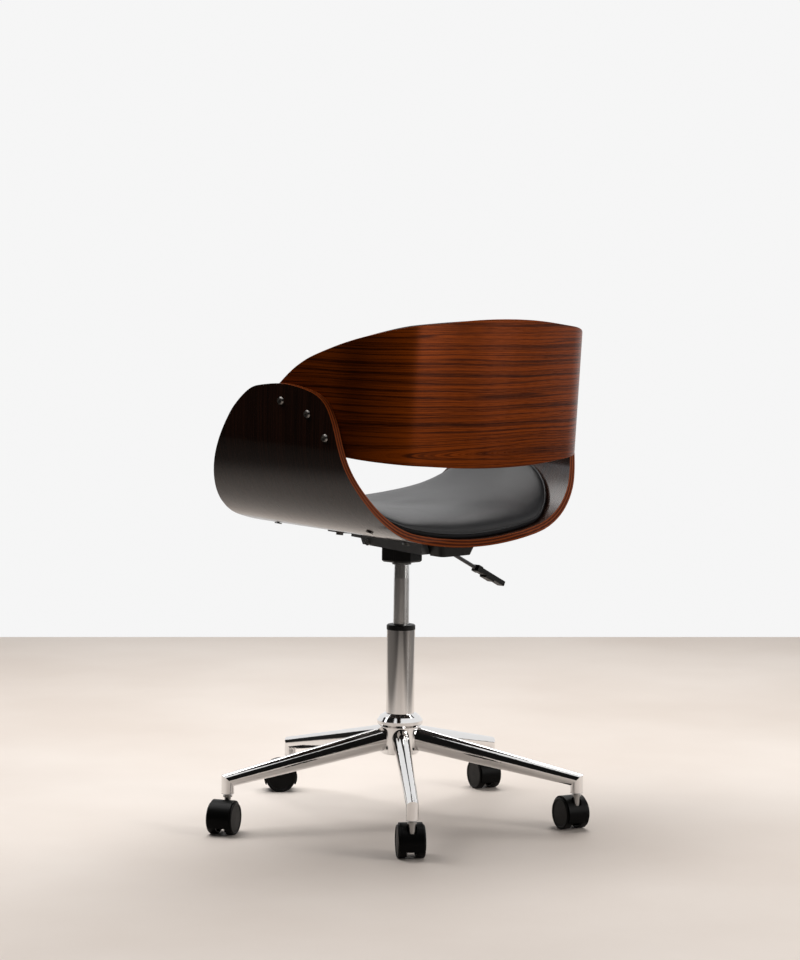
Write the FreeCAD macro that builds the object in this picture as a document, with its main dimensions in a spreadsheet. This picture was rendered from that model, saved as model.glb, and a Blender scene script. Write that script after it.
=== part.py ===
import FreeCAD, Part

import math
import os
import re

import Sketcher
from FreeCAD import Placement, Rotation, Vector

# Office chair with a bent plywood bucket on a gas lift. Millimetres and degrees.
# The origin is on the swivel axis at floor level. +Z is up, the sitter faces -Y, +X is the sitter's left.

SIZES = {
    "fits": (
        ("fit_gap", 0.05, "radial gap of a pressed or running fit"),
        ("seat_gap", 0.3, "gap between pieces that only lie on each other"),
        ("overrun", 5.0, "how far a cutting tool stands past what it cuts"),
    ),
    "base hub": (
        ("hub_radius", 34.75, "body of the hub"),
        ("hub_bottom", 119.3, "underside of the hub"),
        ("hub_ring_radius", 40.4, "flared ring above the legs"),
        ("hub_ring_bottom", 171.5, "underside of the ring"),
        ("hub_ring_top", 178.0, "top of the ring's rim"),
        ("hub_dome_top", 190.5, "where the dome meets the column"),
        ("hub_flare", 4.0, "height of the flare under the ring"),
        ("hub_edge", 2.5, "chamfer under the hub"),
    ),
    "base legs": (
        ("leg_turn", 47.98, "angle of the first leg from +X"),
        ("leg_root_reach", 28.5, "distance of the leg's root from the axis"),
        ("leg_root_height", 146.5, "middle of the oval root above the floor"),
        ("leg_root_tall", 42.0, "height of the oval root"),
        ("leg_root_wide", 31.0, "width of the oval root"),
        ("leg_reach", 318.6, "distance of the caster stem from the axis"),
        ("leg_mitre_height", 88.8, "middle of the mitred corner above the floor"),
        ("leg_mitre_rise", 10.2, "rise of the mitre from its middle to its outer tip"),
        ("leg_socket_radius", 10.9, "outside of the upright socket"),
        ("leg_socket_bottom", 67.5, "lower end of the upright socket"),
        ("leg_wall", 1.5, "wall of the leg tube"),
        ("sleeve_flange", 1.2, "thickness of the sleeve's flange under the socket"),
        ("sleeve_top", 86.0, "upper end of the sleeve"),
    ),
    "casters": (
        ("caster_trail", 19.0, "distance from the stem to the wheel axle"),
        ("caster_axle_height", 27.6, "height of the wheel axle, which is the wheel's radius"),
        ("caster_axle_radius", 3.0, "wheel axle"),
        ("caster_hood_radius", 31.0, "outside of the hood"),
        ("caster_hood_skin", 2.0, "wall of the hood over the wheels"),
        ("caster_hood_wide", 38.5, "width of the hood"),
        ("caster_web", 14.4, "thickness of the web between the wheels"),
        ("caster_hood_bottom", 14.0, "lower edge of the hood"),
        ("caster_wide", 46.0, "width over both wheels"),
        ("caster_notch_radius", 9.0, "notch of the hood round the stem"),
        ("caster_notch_floor", 44.0, "floor of the notch"),
        ("caster_stem_radius", 5.5, "stem"),
        ("caster_stem_foot", 32.0, "lower end of the stem in the web"),
        ("caster_stem_top", 88.0, "upper end of the stem"),
        ("caster_collar_radius", 8.0, "collar of the stem"),
        ("caster_collar_bottom", 60.8, "underside of the collar"),
        ("caster_collar_tall", 2.6, "height of the collar"),
        ("wheel_side_gap", 0.8, "gap between the web and a wheel"),
        ("wheel_rim_wall", 4.0, "thickness of the rim"),
        ("wheel_disc_wall", 3.2, "thickness of the wheel's outer disc"),
        ("wheel_hub_radius", 7.0, "hub of the wheel"),
        ("wheel_edge", 1.4, "rounding of the tread's edges"),
        ("wheel_dish", 0.9, "step between the rim and the disc's face"),
    ),
    "column": (
        ("column_radius", 25.0, "outside of the column tube"),
        ("column_foot_radius", 24.0, "column tube at the lower end of its taper"),
        ("column_wall", 1.8, "wall of the column tube"),
        ("column_bottom", 122.0, "underside of the column tube's floor"),
        ("column_floor", 4.0, "thickness of the column tube's floor"),
        ("column_top", 339.2, "rim of the column tube"),
        ("bush_bottom", 250.0, "lower end of the guide bush"),
        ("bush_cap_tall", 8.6, "height of the bush's cap above the tube"),
        ("bush_cap_radius", 25.4, "outside of the cap"),
        ("bush_cap_edge", 1.6, "chamfer of the cap"),
        ("bearing_radius", 17.0, "outside of the thrust bearing"),
        ("bearing_race", 1.8, "thickness of a race"),
        ("bearing_cage", 3.0, "thickness of the cage between the races"),
        ("bearing_bore_radius", 6.5, "bore of the thrust bearing"),
    ),
    "lift": (
        ("rod_radius", 5.0, "piston rod"),
        ("rod_bottom", 114.0, "lower end of the piston rod"),
        ("rod_collar_radius", 9.5, "collar that stands on the bearing"),
        ("rod_collar_tall", 2.4, "height of the collar"),
        ("rod_clip_radius", 8.8, "clip and washer under the column"),
        ("rod_clip_thick", 1.6, "thickness of the clip, and of the washer"),
        ("lift_headroom", 5.4, "rise of the cylinder until the rod guide meets the piston"),
        ("piston_tall", 10.0, "height of the piston"),
        ("cylinder_radius", 14.0, "outside of the gas cylinder"),
        ("cylinder_bottom", 236.0, "lower end of the gas cylinder"),
        ("cylinder_wall", 2.5, "wall of the gas cylinder"),
        ("cylinder_roof", 455.0, "upper end of the cylinder's bore"),
        ("cone_bottom", 430.3, "where the cone begins"),
        ("cone_top", 482.0, "top of the cone"),
        ("cone_top_radius", 12.7, "cone at its top"),
        ("guide_tall", 12.0, "height of the rod guide"),
        ("guide_inset", 1.0, "how far the rod guide stands inside the cylinder"),
        ("valve_radius", 3.0, "valve pin"),
        ("valve_bottom", 457.0, "lower end of the valve pin"),
        ("valve_head_radius", 4.2, "button of the valve"),
        ("valve_head_tall", 3.0, "height of the button"),
        ("valve_top", 489.0, "top of the button"),
    ),
    "tilt hub": (
        ("barrel_radius", 16.85, "socket barrel of the tilt hub"),
        ("barrel_bottom", 454.8, "lower end of the barrel"),
        ("barrel_top", 490.4, "upper end of the barrel"),
        ("barrel_mouth_radius", 9.5, "opening over the cone"),
        ("barrel_slot_wide", 13.0, "slot for the lever"),
        ("barrel_slot_floor", 487.6, "floor of the slot"),
        ("axle_offset", 38.0, "distance of the tilt axle in front of the swivel axis"),
        ("axle_height", 493.5, "height of the tilt axle"),
        ("axle_radius", 3.5, "tilt axle"),
        ("axle_head_radius", 6.0, "head of the tilt axle"),
        ("axle_head_thick", 2.0, "thickness of the head"),
        ("arm_wide", 24.0, "width of the hub's arm"),
        ("arm_bottom", 489.4, "underside of the arm"),
        ("arm_top", 496.4, "top of the arm"),
        ("arm_eye_radius", 6.2, "eye of the arm round the axle"),
        ("arm_nose", 24.0, "length of the arm past the axle"),
        ("ear_thick", 3.0, "ears that carry the lever's pin"),
        ("ear_tall", 3.8, "height of the ears"),
        ("ear_end", 29.0, "end of the ears from the swivel axis"),
        ("bumper_radius", 7.0, "rubber bumper over the arm's nose"),
        ("bumper_tall", 8.0, "height of the bumper"),
        ("bumper_offset", 58.0, "distance of the bumper in front of the swivel axis"),
    ),
    "tension": (
        ("knob_flats", 70.3, "tension knob across its flats"),
        ("knob_bottom", 460.0, "underside of the tension knob"),
        ("knob_top", 485.0, "rim of the tension knob"),
        ("knob_floor", 6.0, "floor of the tension knob"),
        ("knob_cup_radius", 29.0, "hollow of the tension knob"),
        ("knob_edge", 3.0, "chamfer of the knob's lower edges"),
        ("knob_rim_edge", 1.5, "chamfer of the knob's upper edges"),
        ("circlip_radius", 19.6, "circlip under the knob"),
        ("circlip_thick", 1.3, "thickness of the circlip"),
        ("spring_seat_radius", 28.0, "plate of the spring seat"),
        ("spring_seat_top", 487.0, "top of the spring seat"),
        ("spring_seat_plate", 1.7, "thickness of the spring seat's plate"),
        ("spring_seat_sleeve", 20.5, "outer radius of the spring seat's sleeve"),
        ("spring_coil_radius", 7.5, "outside of a torsion spring"),
        ("spring_wire_radius", 1.2, "wire of a torsion spring"),
        ("spring_start", 16.5, "inner end of a torsion spring from the middle plane"),
        ("spring_turns", 5.0, "turns of a torsion spring"),
        ("spring_pitch", 2.9, "pitch of a torsion spring"),
        ("spring_leg_start", 3.4, "start of a spring's leg behind the middle of the axle"),
        ("spring_leg_end", 15.0, "end of a spring's leg in front of the swivel axis"),
    ),
    "lever": (
        ("lever_pin_reach", 24.0, "lever's pin from the swivel axis"),
        ("lever_pin_radius", 1.4, "lever's pin"),
        ("lever_strip_wide", 10.0, "width of the lever's flat inner end"),
        ("lever_strip_thick", 4.0, "thickness of the lever's flat inner end"),
        ("lever_strip_tip", 3.5, "how far the flat end reaches past the swivel axis"),
        ("lever_strip_end", 48.0, "where the flat end meets the rod"),
        ("lever_rod_radius", 3.6, "lever rod"),
        ("lever_bend_reach", 76.0, "bend of the lever rod from the swivel axis"),
        ("lever_bend_radius", 20.0, "radius of that bend"),
        ("lever_slope", 25.6, "slope of the lever rod"),
        ("lever_rod_end", 257.0, "end of the lever rod from the swivel axis"),
        ("handle_start", 193.0, "inner end of the handle from the swivel axis"),
        ("handle_end", 266.0, "outer end of the handle from the swivel axis"),
        ("handle_tall", 9.6, "thickness of the handle"),
        ("handle_wide", 17.0, "width of the handle"),
        ("handle_collar_tall", 12.6, "height of the collar block"),
        ("handle_collar_long", 13.0, "length of the collar block"),
        ("handle_step_tall", 3.2, "finger step under the handle"),
        ("handle_step_long", 26.0, "length of the finger step"),
        ("handle_edge", 1.6, "rounding of the handle"),
    ),
    "seat shell": (
        ("seat_height", 506.0, "underside of the shell over the swivel axis"),
        ("seat_slope", 2.0, "slope of the shell down to the rear"),
        ("ply_thick", 13.0, "plywood of the shell"),
        ("shell_half_wide", 296.6, "outside of an arm from the middle plane at the splay level"),
        ("splay_along", 150.0, "splay level behind the swivel axis"),
        ("arm_splay", 6.6, "angle by which each arm opens to the front"),
        ("seat_bend_radius", 770.0, "outside of the shallow bend of the seat"),
        ("arm_bend_radius", 172.0, "outside of the bend into an arm"),
        ("arm_height", 272.0, "top of an arm above the shell's underside"),
        ("shell_rear", 183.0, "rear edge of the shell"),
        ("shell_front", 240.0, "front edge of the shell in the middle"),
        ("shell_front_side", 201.0, "front edge of the shell where its bow ends"),
        ("shell_front_wide", 424.0, "width over which the front edge is bowed"),
        ("shell_corner_along", 182.0, "front corners of the shell before the swivel axis"),
        ("shell_corner_side", 262.0, "front corners of the shell from the middle plane"),
    ),
    "back panel, in the seat's sloping frame": (
        ("panel_thick", 12.0, "plywood of the back panel"),
        ("panel_rear", 228.5, "rear of the back panel at its middle height"),
        ("panel_front", 42.0, "front ends of the back panel before the swivel axis"),
        ("panel_corner_radius", 123.0, "bend of the back panel's corners"),
        ("panel_rear_radius", 950.0, "bend of the back panel's rear"),
        ("panel_lean", 1.8, "lean of the back panel to the rear"),
        ("panel_level", 202.0, "height at which the back panel's rear is measured"),
        ("panel_top", 390.5, "top of the back panel at its middle"),
        ("panel_bottom", 138.0, "bottom of the back panel at its middle"),
        ("panel_tip_rise", 236.0, "top edge of the panel at its front ends"),
        ("panel_tip_drop", 215.0, "bottom edge of the panel at its front ends"),
    ),
    "cushions": (
        ("cushion_thick", 40.0, "seat cushion at its middle"),
        ("cushion_edge", 19.0, "seat cushion inside its rounded edge"),
        ("cushion_piping", 9.0, "height of the piping on the edge"),
        ("cushion_nose", 14.0, "rounding from the piping to the top"),
        ("cushion_reach", 345.0, "half width of the seat cushion along the bend"),
        ("cushion_rear", 170.0, "rear of the seat cushion"),
        ("cushion_front", 227.0, "front of the seat cushion"),
        ("pad_thick", 24.0, "back cushion"),
        ("pad_rise", 4.0, "how far the back cushion stands above the panel"),
        ("pad_lift", 16.0, "lower edge of the back cushion above the panel's"),
        ("pad_front", 62.0, "front ends of the back cushion"),
    ),
    "arm bolts, in the seat's sloping frame": (
        ("bolt_radius", 3.0, "shank of an arm bolt"),
        ("bolt_head_radius", 6.6, "head of an arm bolt"),
        ("bolt_head_tall", 3.2, "height of the head"),
        ("bolt_socket_radius", 2.6, "hexagon socket in the head"),
        ("nut_radius", 7.0, "head of the sleeve nut inside"),
        ("nut_tall", 3.0, "height of the nut's head"),
        ("bolt_hole_gap", 0.2, "radial gap of a bolt hole"),
        ("bolt_front_along", 10.5, "front bolt behind the swivel axis"),
        ("bolt_front_height", 243.6, "front bolt above the shell's underside"),
        ("bolt_middle_along", 67.8, "middle bolt behind the swivel axis"),
        ("bolt_middle_height", 225.4, "middle bolt above the shell's underside"),
        ("bolt_rear_along", 106.4, "rear bolt behind the swivel axis"),
        ("bolt_rear_height", 188.6, "rear bolt above the shell's underside"),
    ),
    "seat pan": (
        ("pan_sheet", 2.5, "steel of the pan"),
        ("pan_front", 88.0, "front of the pan"),
        ("pan_rear", 105.0, "rear of the pan"),
        ("pan_flange", 62.0, "half width of the pan's flange"),
        ("pan_ear", 97.0, "half width over the pan's bolt ears"),
        ("pan_ear_long", 30.0, "length of a bolt ear"),
        ("pan_wall_front", 38.5, "outside of the pan's walls at the front"),
        ("pan_wall_rear", 60.0, "outside of the pan's walls at the rear"),
        ("pan_deep", 19.5, "depth of the pan behind its step"),
        ("pan_shallow", 9.5, "depth of the pan in front of its step"),
        ("pan_step", 52.0, "where the pan gets shallow"),
        ("pan_step_long", 9.0, "length of that step"),
        ("lever_window_long", 26.0, "window for the lever in the pan's wall"),
        ("cover_front", 96.0, "front of the rear cover"),
        ("cover_rear", 140.0, "rear of the rear cover"),
        ("cover_wide", 100.0, "width of the rear cover at its top"),
        ("cover_deep", 22.0, "depth of the rear cover"),
        ("cover_taper", 12.0, "how far the rear cover's sides draw in"),
        ("cover_skin", 2.2, "wall of the rear cover"),
        ("cover_round", 10.0, "rounding of the rear cover's rear corners"),
        ("pan_bolt_side", 82.0, "pan bolts from the middle plane"),
        ("pan_bolt_front", 73.0, "front pan bolts"),
        ("pan_bolt_rear", 90.0, "rear pan bolts"),
        ("pan_bolt_head", 6.5, "radius of a pan bolt's head"),
        ("pan_bolt_tall", 4.0, "height of a pan bolt's head"),
        ("pan_bolt_shank", 3.0, "radius of a pan bolt's shank"),
        ("screw_front_side", 148.0, "front cushion screws from the middle plane"),
        ("screw_front", 162.0, "front cushion screws"),
        ("screw_rear_side", 202.0, "rear cushion screws from the middle plane"),
        ("screw_rear", 116.0, "rear cushion screws"),
        ("screw_head_tall", 1.8, "height of a cushion screw's head"),
        ("screw_radius", 2.5, "shank of a cushion screw"),
        ("screw_bite", 8.0, "how far a screw reaches into the cushion's board"),
    ),
}

doc = FreeCAD.newDocument("office_chair")
sizes = doc.addObject("Spreadsheet::Sheet", "sizes")
row = 0
for group, entries in SIZES.items():
    row += 1
    sizes.set("A%d" % row, group)
    for name, amount, words in entries:
        row += 1
        sizes.set("A%d" % row, words)
        sizes.set("B%d" % row, str(amount))
        sizes.setAlias("B%d" % row, name)
doc.recompute()

ALONG_X = Rotation(Vector(0, 1, 0), 90)
ALONG_Y = Rotation(Vector(1, 0, 0), -90)
UPRIGHT = Rotation()
FULL_TURN = 360.0
LEGS = 5
SIDES = (1, -1)
SUBPARTS = []


# Parametric building blocks

def tied(formula):
    """The formula with each size name pointing at the sheet."""
    return re.sub(r"[a-z][a-z_]*", lambda word: "sizes." + word.group(), formula)


def subpart(piece, label, placement=None):
    """Names a finished piece, places it and keeps it for the export."""
    piece.Label = label
    if placement is not None:
        piece.Placement = placement
    SUBPARTS.append(piece)
    return piece


def shaped(label, shape, placement=None):
    """A piece whose form was worked out below from the sheet's sizes."""
    piece = doc.addObject("Part::Feature", label)
    piece.Shape = shape
    return subpart(piece, label, placement)


def outline(body, plane, corners):
    """A closed sketch on one of the body's planes, each corner held at two formulas."""
    sketch = body.newObject("Sketcher::SketchObject", "Outline")
    origin = [item for item in body.Origin.OriginFeatures if item.Role == plane][0]
    sketch.AttachmentSupport = [(origin, "")]
    sketch.MapMode = "FlatFace"
    count = len(corners)
    ring = [2 * math.pi * corner / count for corner in range(count)]
    rough = [Vector(math.cos(turn), math.sin(turn), 0) for turn in ring]
    for corner in range(count):
        sketch.addGeometry(Part.LineSegment(rough[corner], rough[(corner + 1) % count]), False)
    for corner in range(count):
        joint = Sketcher.Constraint("Coincident", corner, 2, (corner + 1) % count, 1)
        sketch.addConstraint(joint)
    for corner, (across, up) in enumerate(corners):
        for kind, formula, guess in (
            ("DistanceX", across, rough[corner].x),
            ("DistanceY", up, rough[corner].y),
        ):
            held = Sketcher.Constraint(kind, -1, 1, corner, 1, guess)
            place = sketch.addConstraint(held)
            sketch.setExpression("Constraints[%d]" % place, tied(formula))
    return sketch


def turned(label, corners):
    """A lathe-turned body: its half section is given as radius and height."""
    body = doc.addObject("PartDesign::Body", label)
    sketch = outline(body, "XZ_Plane", corners)
    revolution = body.newObject("PartDesign::Revolution", "Turned")
    revolution.Profile = sketch
    revolution.ReferenceAxis = (sketch, ["V_Axis"])
    revolution.Angle = FULL_TURN
    sketch.Visibility = False
    return body


def put(piece, at, turn=UPRIGHT):
    """Places a primitive by three formulas and one of the three turns."""
    piece.Placement = Placement(Vector(), turn)
    for axis, formula in zip("xyz", at):
        piece.setExpression("Placement.Base." + axis, tied(formula))
    return piece


def rod(radius, length, at=("0", "0", "0"), turn=UPRIGHT):
    """A plain cylinder."""
    piece = doc.addObject("Part::Cylinder", "Rod")
    piece.setExpression("Radius", tied(radius))
    piece.setExpression("Height", tied(length))
    return put(piece, at, turn)


def block(long, wide, tall, at=("0", "0", "0")):
    """A plain box by its lowest corner."""
    piece = doc.addObject("Part::Box", "Block")
    piece.setExpression("Length", tied(long))
    piece.setExpression("Width", tied(wide))
    piece.setExpression("Height", tied(tall))
    return put(piece, at)


def joined(*pieces):
    whole = doc.addObject("Part::MultiFuse", "Joined")
    whole.Shapes = list(pieces)
    whole.Refine = True
    return whole


def group(*pieces):
    whole = doc.addObject("Part::Compound", "Group")
    whole.Links = list(pieces)
    return whole


def cut(base, *tools):
    whole = doc.addObject("Part::Cut", "Cut")
    whole.Base = base
    whole.Tool = tools[0] if len(tools) == 1 else joined(*tools)
    whole.Refine = True
    return whole


def spun(angle):
    """Placement of a piece drawn on the +X side, turned about the swivel axis."""
    return Placement(Vector(), Rotation(Vector(0, 0, 1), angle))


# Base hub: turned and chromed, with an oval hole for each leg

HUB_BORE_TOP = "column_radius + fit_gap"
HUB_BORE_FOOT = "column_foot_radius + fit_gap"
hub = turned("hub_blank", (
    (HUB_BORE_FOOT, "hub_bottom"),
    ("hub_radius - hub_edge", "hub_bottom"),
    ("hub_radius", "hub_bottom + hub_edge"),
    ("hub_radius", "hub_ring_bottom - hub_flare"),
    ("hub_ring_radius - hub_edge / 2", "hub_ring_bottom"),
    ("hub_ring_radius", "hub_ring_bottom + hub_edge / 2"),
    ("hub_ring_radius", "hub_ring_top"),
    ("(hub_ring_radius * 2 + column_radius) / 3", "hub_ring_top * 0.4 + hub_dome_top * 0.6"),
    ("column_radius + hub_edge", "hub_dome_top"),
    (HUB_BORE_TOP, "hub_dome_top"),
))


def oval(reach, height, tall, wide):
    """An upright oval across the leg's run, at a distance from the axis."""
    middle = Vector(reach, 0, height)
    ring = Part.Ellipse(middle + Vector(0, 0, tall / 2), middle + Vector(0, wide / 2, 0), middle)
    return Part.Wire([ring.toShape()])


def leg_solid(inset, root_reach, foot):
    """A tapered leg and its upright socket, mitred together, drawn in by a wall's thickness."""
    root = oval(
        root_reach,
        sizes.leg_root_height,
        sizes.leg_root_tall - 2 * inset,
        sizes.leg_root_wide - 2 * inset,
    )
    radius = sizes.leg_socket_radius - inset
    corner = Vector(sizes.leg_reach, 0, sizes.leg_mitre_height)
    rise = sizes.leg_mitre_rise * radius / sizes.leg_socket_radius
    tip = corner + Vector(radius, 0, rise)
    mitre = Part.Ellipse(tip, corner + Vector(0, radius, 0), corner)
    end = Part.Circle(Vector(sizes.leg_reach, 0, foot), Vector(0, 0, 1), radius)
    wires = [root, Part.Wire([mitre.toShape()]), Part.Wire([end.toShape()])]
    return Part.makeLoft(wires, True, True)


def leg_angle(index):
    return sizes.leg_turn + index * FULL_TURN / LEGS


leg_holes = []
for index in range(LEGS):
    hole = leg_solid(
        -sizes.seat_gap,
        sizes.leg_root_reach - sizes.seat_gap,
        sizes.leg_socket_bottom,
    )
    hole.Placement = spun(leg_angle(index))
    leg_holes.append(hole)
holes = doc.addObject("Part::Feature", "leg_holes")
holes.Shape = Part.makeCompound(leg_holes)
subpart(cut(hub, holes), "base_hub")

leg_shape = leg_solid(0, sizes.leg_root_reach, sizes.leg_socket_bottom)
leg_hollow = leg_solid(
    sizes.leg_wall,
    sizes.leg_root_reach - sizes.overrun,
    sizes.leg_socket_bottom - sizes.overrun,
)
leg_shape = leg_shape.cut(leg_hollow)
for index in range(LEGS):
    shaped("base_leg_%d" % (index + 1), leg_shape.copy(), spun(leg_angle(index)))

SLEEVE_OUT = "leg_socket_radius - leg_wall - fit_gap"
SLEEVE_IN = "caster_stem_radius + fit_gap"
sleeves = []
for index in range(LEGS):
    sleeve = turned("sleeve", (
        (SLEEVE_IN, "leg_socket_bottom - sleeve_flange"),
        ("leg_socket_radius", "leg_socket_bottom - sleeve_flange"),
        ("leg_socket_radius", "leg_socket_bottom"),
        (SLEEVE_OUT, "leg_socket_bottom"),
        (SLEEVE_OUT, "sleeve_top"),
        (SLEEVE_IN, "sleeve_top"),
    ))
    turn = math.radians(leg_angle(index))
    sleeve.Placement = Placement(
        Vector(math.cos(turn), math.sin(turn), 0) * sizes.leg_reach, UPRIGHT)
    sleeves.append(sleeve)
subpart(group(*sleeves), "stem_sleeves")


# Casters: each drawn with its stem on the Z axis and its wheels trailing towards +X

TRAIL_TURNS = {
    "1": 231.0,
    "2": 250.0,
    "3": 250.0,
    "4": 320.0,
    "5": 28.0,
}
AXLE_AT = ("caster_trail", "0", "caster_axle_height")


def caster_hood():
    """Nylon hood: a drum with a web between two wheel wells, notched round the stem."""
    drum = rod("caster_hood_radius", "caster_hood_wide",
               ("caster_trail", "0 - caster_hood_wide / 2", "caster_axle_height"), ALONG_Y)
    well = "caster_hood_radius - caster_hood_skin"
    left_well = rod(well, "caster_hood_wide",
                    ("caster_trail", "caster_web / 2", "caster_axle_height"), ALONG_Y)
    right_well = rod(well, "caster_hood_wide",
                     ("caster_trail", "0 - caster_web / 2 - caster_hood_wide", "caster_axle_height"),
                     ALONG_Y)
    mouth = block("caster_hood_radius * 4", "caster_hood_wide * 2", "caster_hood_bottom + overrun",
                  ("0 - caster_hood_radius * 2", "0 - caster_hood_wide", "0 - overrun"))
    notch = rod("caster_notch_radius", "caster_hood_radius * 2", ("0", "0", "caster_notch_floor"))
    stem_hole = rod("caster_stem_radius + fit_gap", "caster_hood_radius * 2",
                    ("0", "0", "caster_stem_foot - seat_gap"))
    axle_hole = rod("caster_axle_radius + fit_gap", "caster_hood_wide",
                    ("caster_trail", "0 - caster_hood_wide / 2", "caster_axle_height"), ALONG_Y)
    return cut(drum, left_well, right_well, mouth, notch, stem_hole, axle_hole)


def caster_stem():
    return turned("stem", (
        ("0", "caster_stem_foot"),
        ("caster_stem_radius", "caster_stem_foot"),
        ("caster_stem_radius", "caster_collar_bottom"),
        ("caster_collar_radius", "caster_collar_bottom"),
        ("caster_collar_radius", "caster_collar_bottom + caster_collar_tall"),
        ("caster_stem_radius", "caster_collar_bottom + caster_collar_tall"),
        ("caster_stem_radius", "caster_stem_top"),
        ("0", "caster_stem_top"),
    ))


WHEEL_IN = "caster_web / 2 + wheel_side_gap"
WHEEL_OUT = "caster_wide / 2"
WHEEL_FLOOR = "caster_wide / 2 - wheel_disc_wall"
WHEEL_BORE = "caster_axle_radius + fit_gap"
WHEEL_POCKET = "caster_axle_height - wheel_rim_wall"


def caster_wheel(side):
    """Wheel: open towards the web, its outer disc dished inside the rim."""
    wheel = turned("wheel", (
        ("0", WHEEL_FLOOR),
        (WHEEL_BORE, WHEEL_FLOOR),
        (WHEEL_BORE, WHEEL_IN),
        ("wheel_hub_radius", WHEEL_IN),
        ("wheel_hub_radius", WHEEL_FLOOR),
        (WHEEL_POCKET, WHEEL_FLOOR),
        (WHEEL_POCKET, WHEEL_IN),
        ("caster_axle_height - wheel_edge", WHEEL_IN),
        ("caster_axle_height", WHEEL_IN + " + wheel_edge"),
        ("caster_axle_height", WHEEL_OUT + " - wheel_edge"),
        ("caster_axle_height - wheel_edge", WHEEL_OUT),
        (WHEEL_POCKET, WHEEL_OUT),
        (WHEEL_POCKET + " - wheel_dish", WHEEL_OUT + " - wheel_dish"),
        ("0", WHEEL_OUT + " - wheel_dish / 2"),
    ))
    turn = Rotation(Vector(1, 0, 0), -90 * side)
    return put(wheel, AXLE_AT, turn)


for index in range(LEGS):
    name = str(index + 1)
    turn = math.radians(leg_angle(index))
    stem_foot = Vector(math.cos(turn), math.sin(turn), 0) * sizes.leg_reach
    stand = Placement(stem_foot, Rotation(Vector(0, 0, 1), TRAIL_TURNS[name]))
    subpart(caster_hood(), "caster_hood_" + name, stand)
    subpart(caster_stem(), "caster_stem_" + name, stand)
    axle = rod("caster_axle_radius", "caster_wide - 2 * wheel_disc_wall - 2 * seat_gap",
               ("caster_trail", "0 - caster_wide / 2 + wheel_disc_wall + seat_gap",
                "caster_axle_height"), ALONG_Y)
    subpart(group(axle), "caster_axle_" + name, stand)
    for hand, side in (("left", 1), ("right", -1)):
        subpart(group(caster_wheel(side)), "caster_wheel_%s_%s" % (hand, name), stand)


# Column: tube in the hub's tapered bore, guide bush in its mouth, thrust bearing on its floor

subpart(turned("column_tube", (
    ("rod_collar_radius", "column_bottom"),
    ("column_foot_radius", "column_bottom"),
    ("column_radius", "hub_dome_top"),
    ("column_radius", "column_top"),
    ("column_radius - column_wall", "column_top"),
    ("column_radius - column_wall", "hub_dome_top"),
    ("column_foot_radius - column_wall", "column_bottom + column_floor"),
    ("rod_collar_radius", "column_bottom + column_floor"),
)), "column_tube")

BUSH_IN = "cylinder_radius + fit_gap"
BUSH_OUT = "column_radius - column_wall - fit_gap"
CAP_TOP = "column_top + bush_cap_tall"
subpart(turned("guide_bush", (
    (BUSH_IN, "bush_bottom"),
    (BUSH_OUT, "bush_bottom"),
    (BUSH_OUT, "column_top"),
    ("bush_cap_radius", "column_top"),
    ("bush_cap_radius", CAP_TOP + " - bush_cap_edge"),
    ("bush_cap_radius - bush_cap_edge", CAP_TOP),
    (BUSH_IN + " + bush_cap_edge", CAP_TOP),
    (BUSH_IN, CAP_TOP + " - bush_cap_edge"),
)), "guide_bush")

BEARING_FOOT = "column_bottom + column_floor"
RACE_TOP = BEARING_FOOT + " + bearing_race"
CAGE_TOP = RACE_TOP + " + bearing_cage"


def bearing_ring(low, high, inset):
    return turned("ring", (
        ("bearing_bore_radius + " + inset, low),
        ("bearing_radius - " + inset, low),
        ("bearing_radius - " + inset, high),
        ("bearing_bore_radius + " + inset, high),
    ))


subpart(group(
    bearing_ring(BEARING_FOOT, RACE_TOP, "0"),
    bearing_ring(RACE_TOP, CAGE_TOP, "bearing_race"),
    bearing_ring(CAGE_TOP, CAGE_TOP + " + bearing_race", "0"),
), "thrust_bearing")


# Lift: piston rod held in the column, gas cylinder sliding on it, valve button in its cone

COLLAR_FOOT = CAGE_TOP + " + bearing_race + fit_gap"
PISTON_OUT = "cylinder_radius - cylinder_wall - fit_gap"
PISTON_FOOT = "cylinder_bottom + guide_inset + guide_tall + lift_headroom"
subpart(turned("piston_rod", (
    ("0", "rod_bottom"),
    ("rod_radius", "rod_bottom"),
    ("rod_radius", COLLAR_FOOT),
    ("rod_collar_radius", COLLAR_FOOT),
    ("rod_collar_radius", COLLAR_FOOT + " + rod_collar_tall"),
    ("rod_radius", COLLAR_FOOT + " + rod_collar_tall"),
    ("rod_radius", PISTON_FOOT),
    (PISTON_OUT, PISTON_FOOT),
    (PISTON_OUT, PISTON_FOOT + " + piston_tall"),
    ("0", PISTON_FOOT + " + piston_tall"),
)), "piston_rod")


def clip_ring(high):
    """A ring on the piston rod, by the level of its upper face."""
    low = high + " - rod_clip_thick"
    return turned("ring", (
        ("rod_radius + fit_gap", low),
        ("rod_clip_radius", low),
        ("rod_clip_radius", high),
        ("rod_radius + fit_gap", high),
    ))


subpart(group(
    clip_ring("column_bottom - fit_gap"),
    clip_ring("column_bottom - fit_gap * 2 - rod_clip_thick"),
), "retaining_clip")

BORE = "cylinder_radius - cylinder_wall"
subpart(turned("gas_cylinder", (
    (BORE, "cylinder_bottom"),
    ("cylinder_radius", "cylinder_bottom"),
    ("cylinder_radius", "cone_bottom"),
    ("cone_top_radius", "cone_top"),
    ("valve_radius + fit_gap", "cone_top"),
    ("valve_radius + fit_gap", "cylinder_roof"),
    (BORE, "cylinder_roof"),
)), "gas_cylinder")

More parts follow.
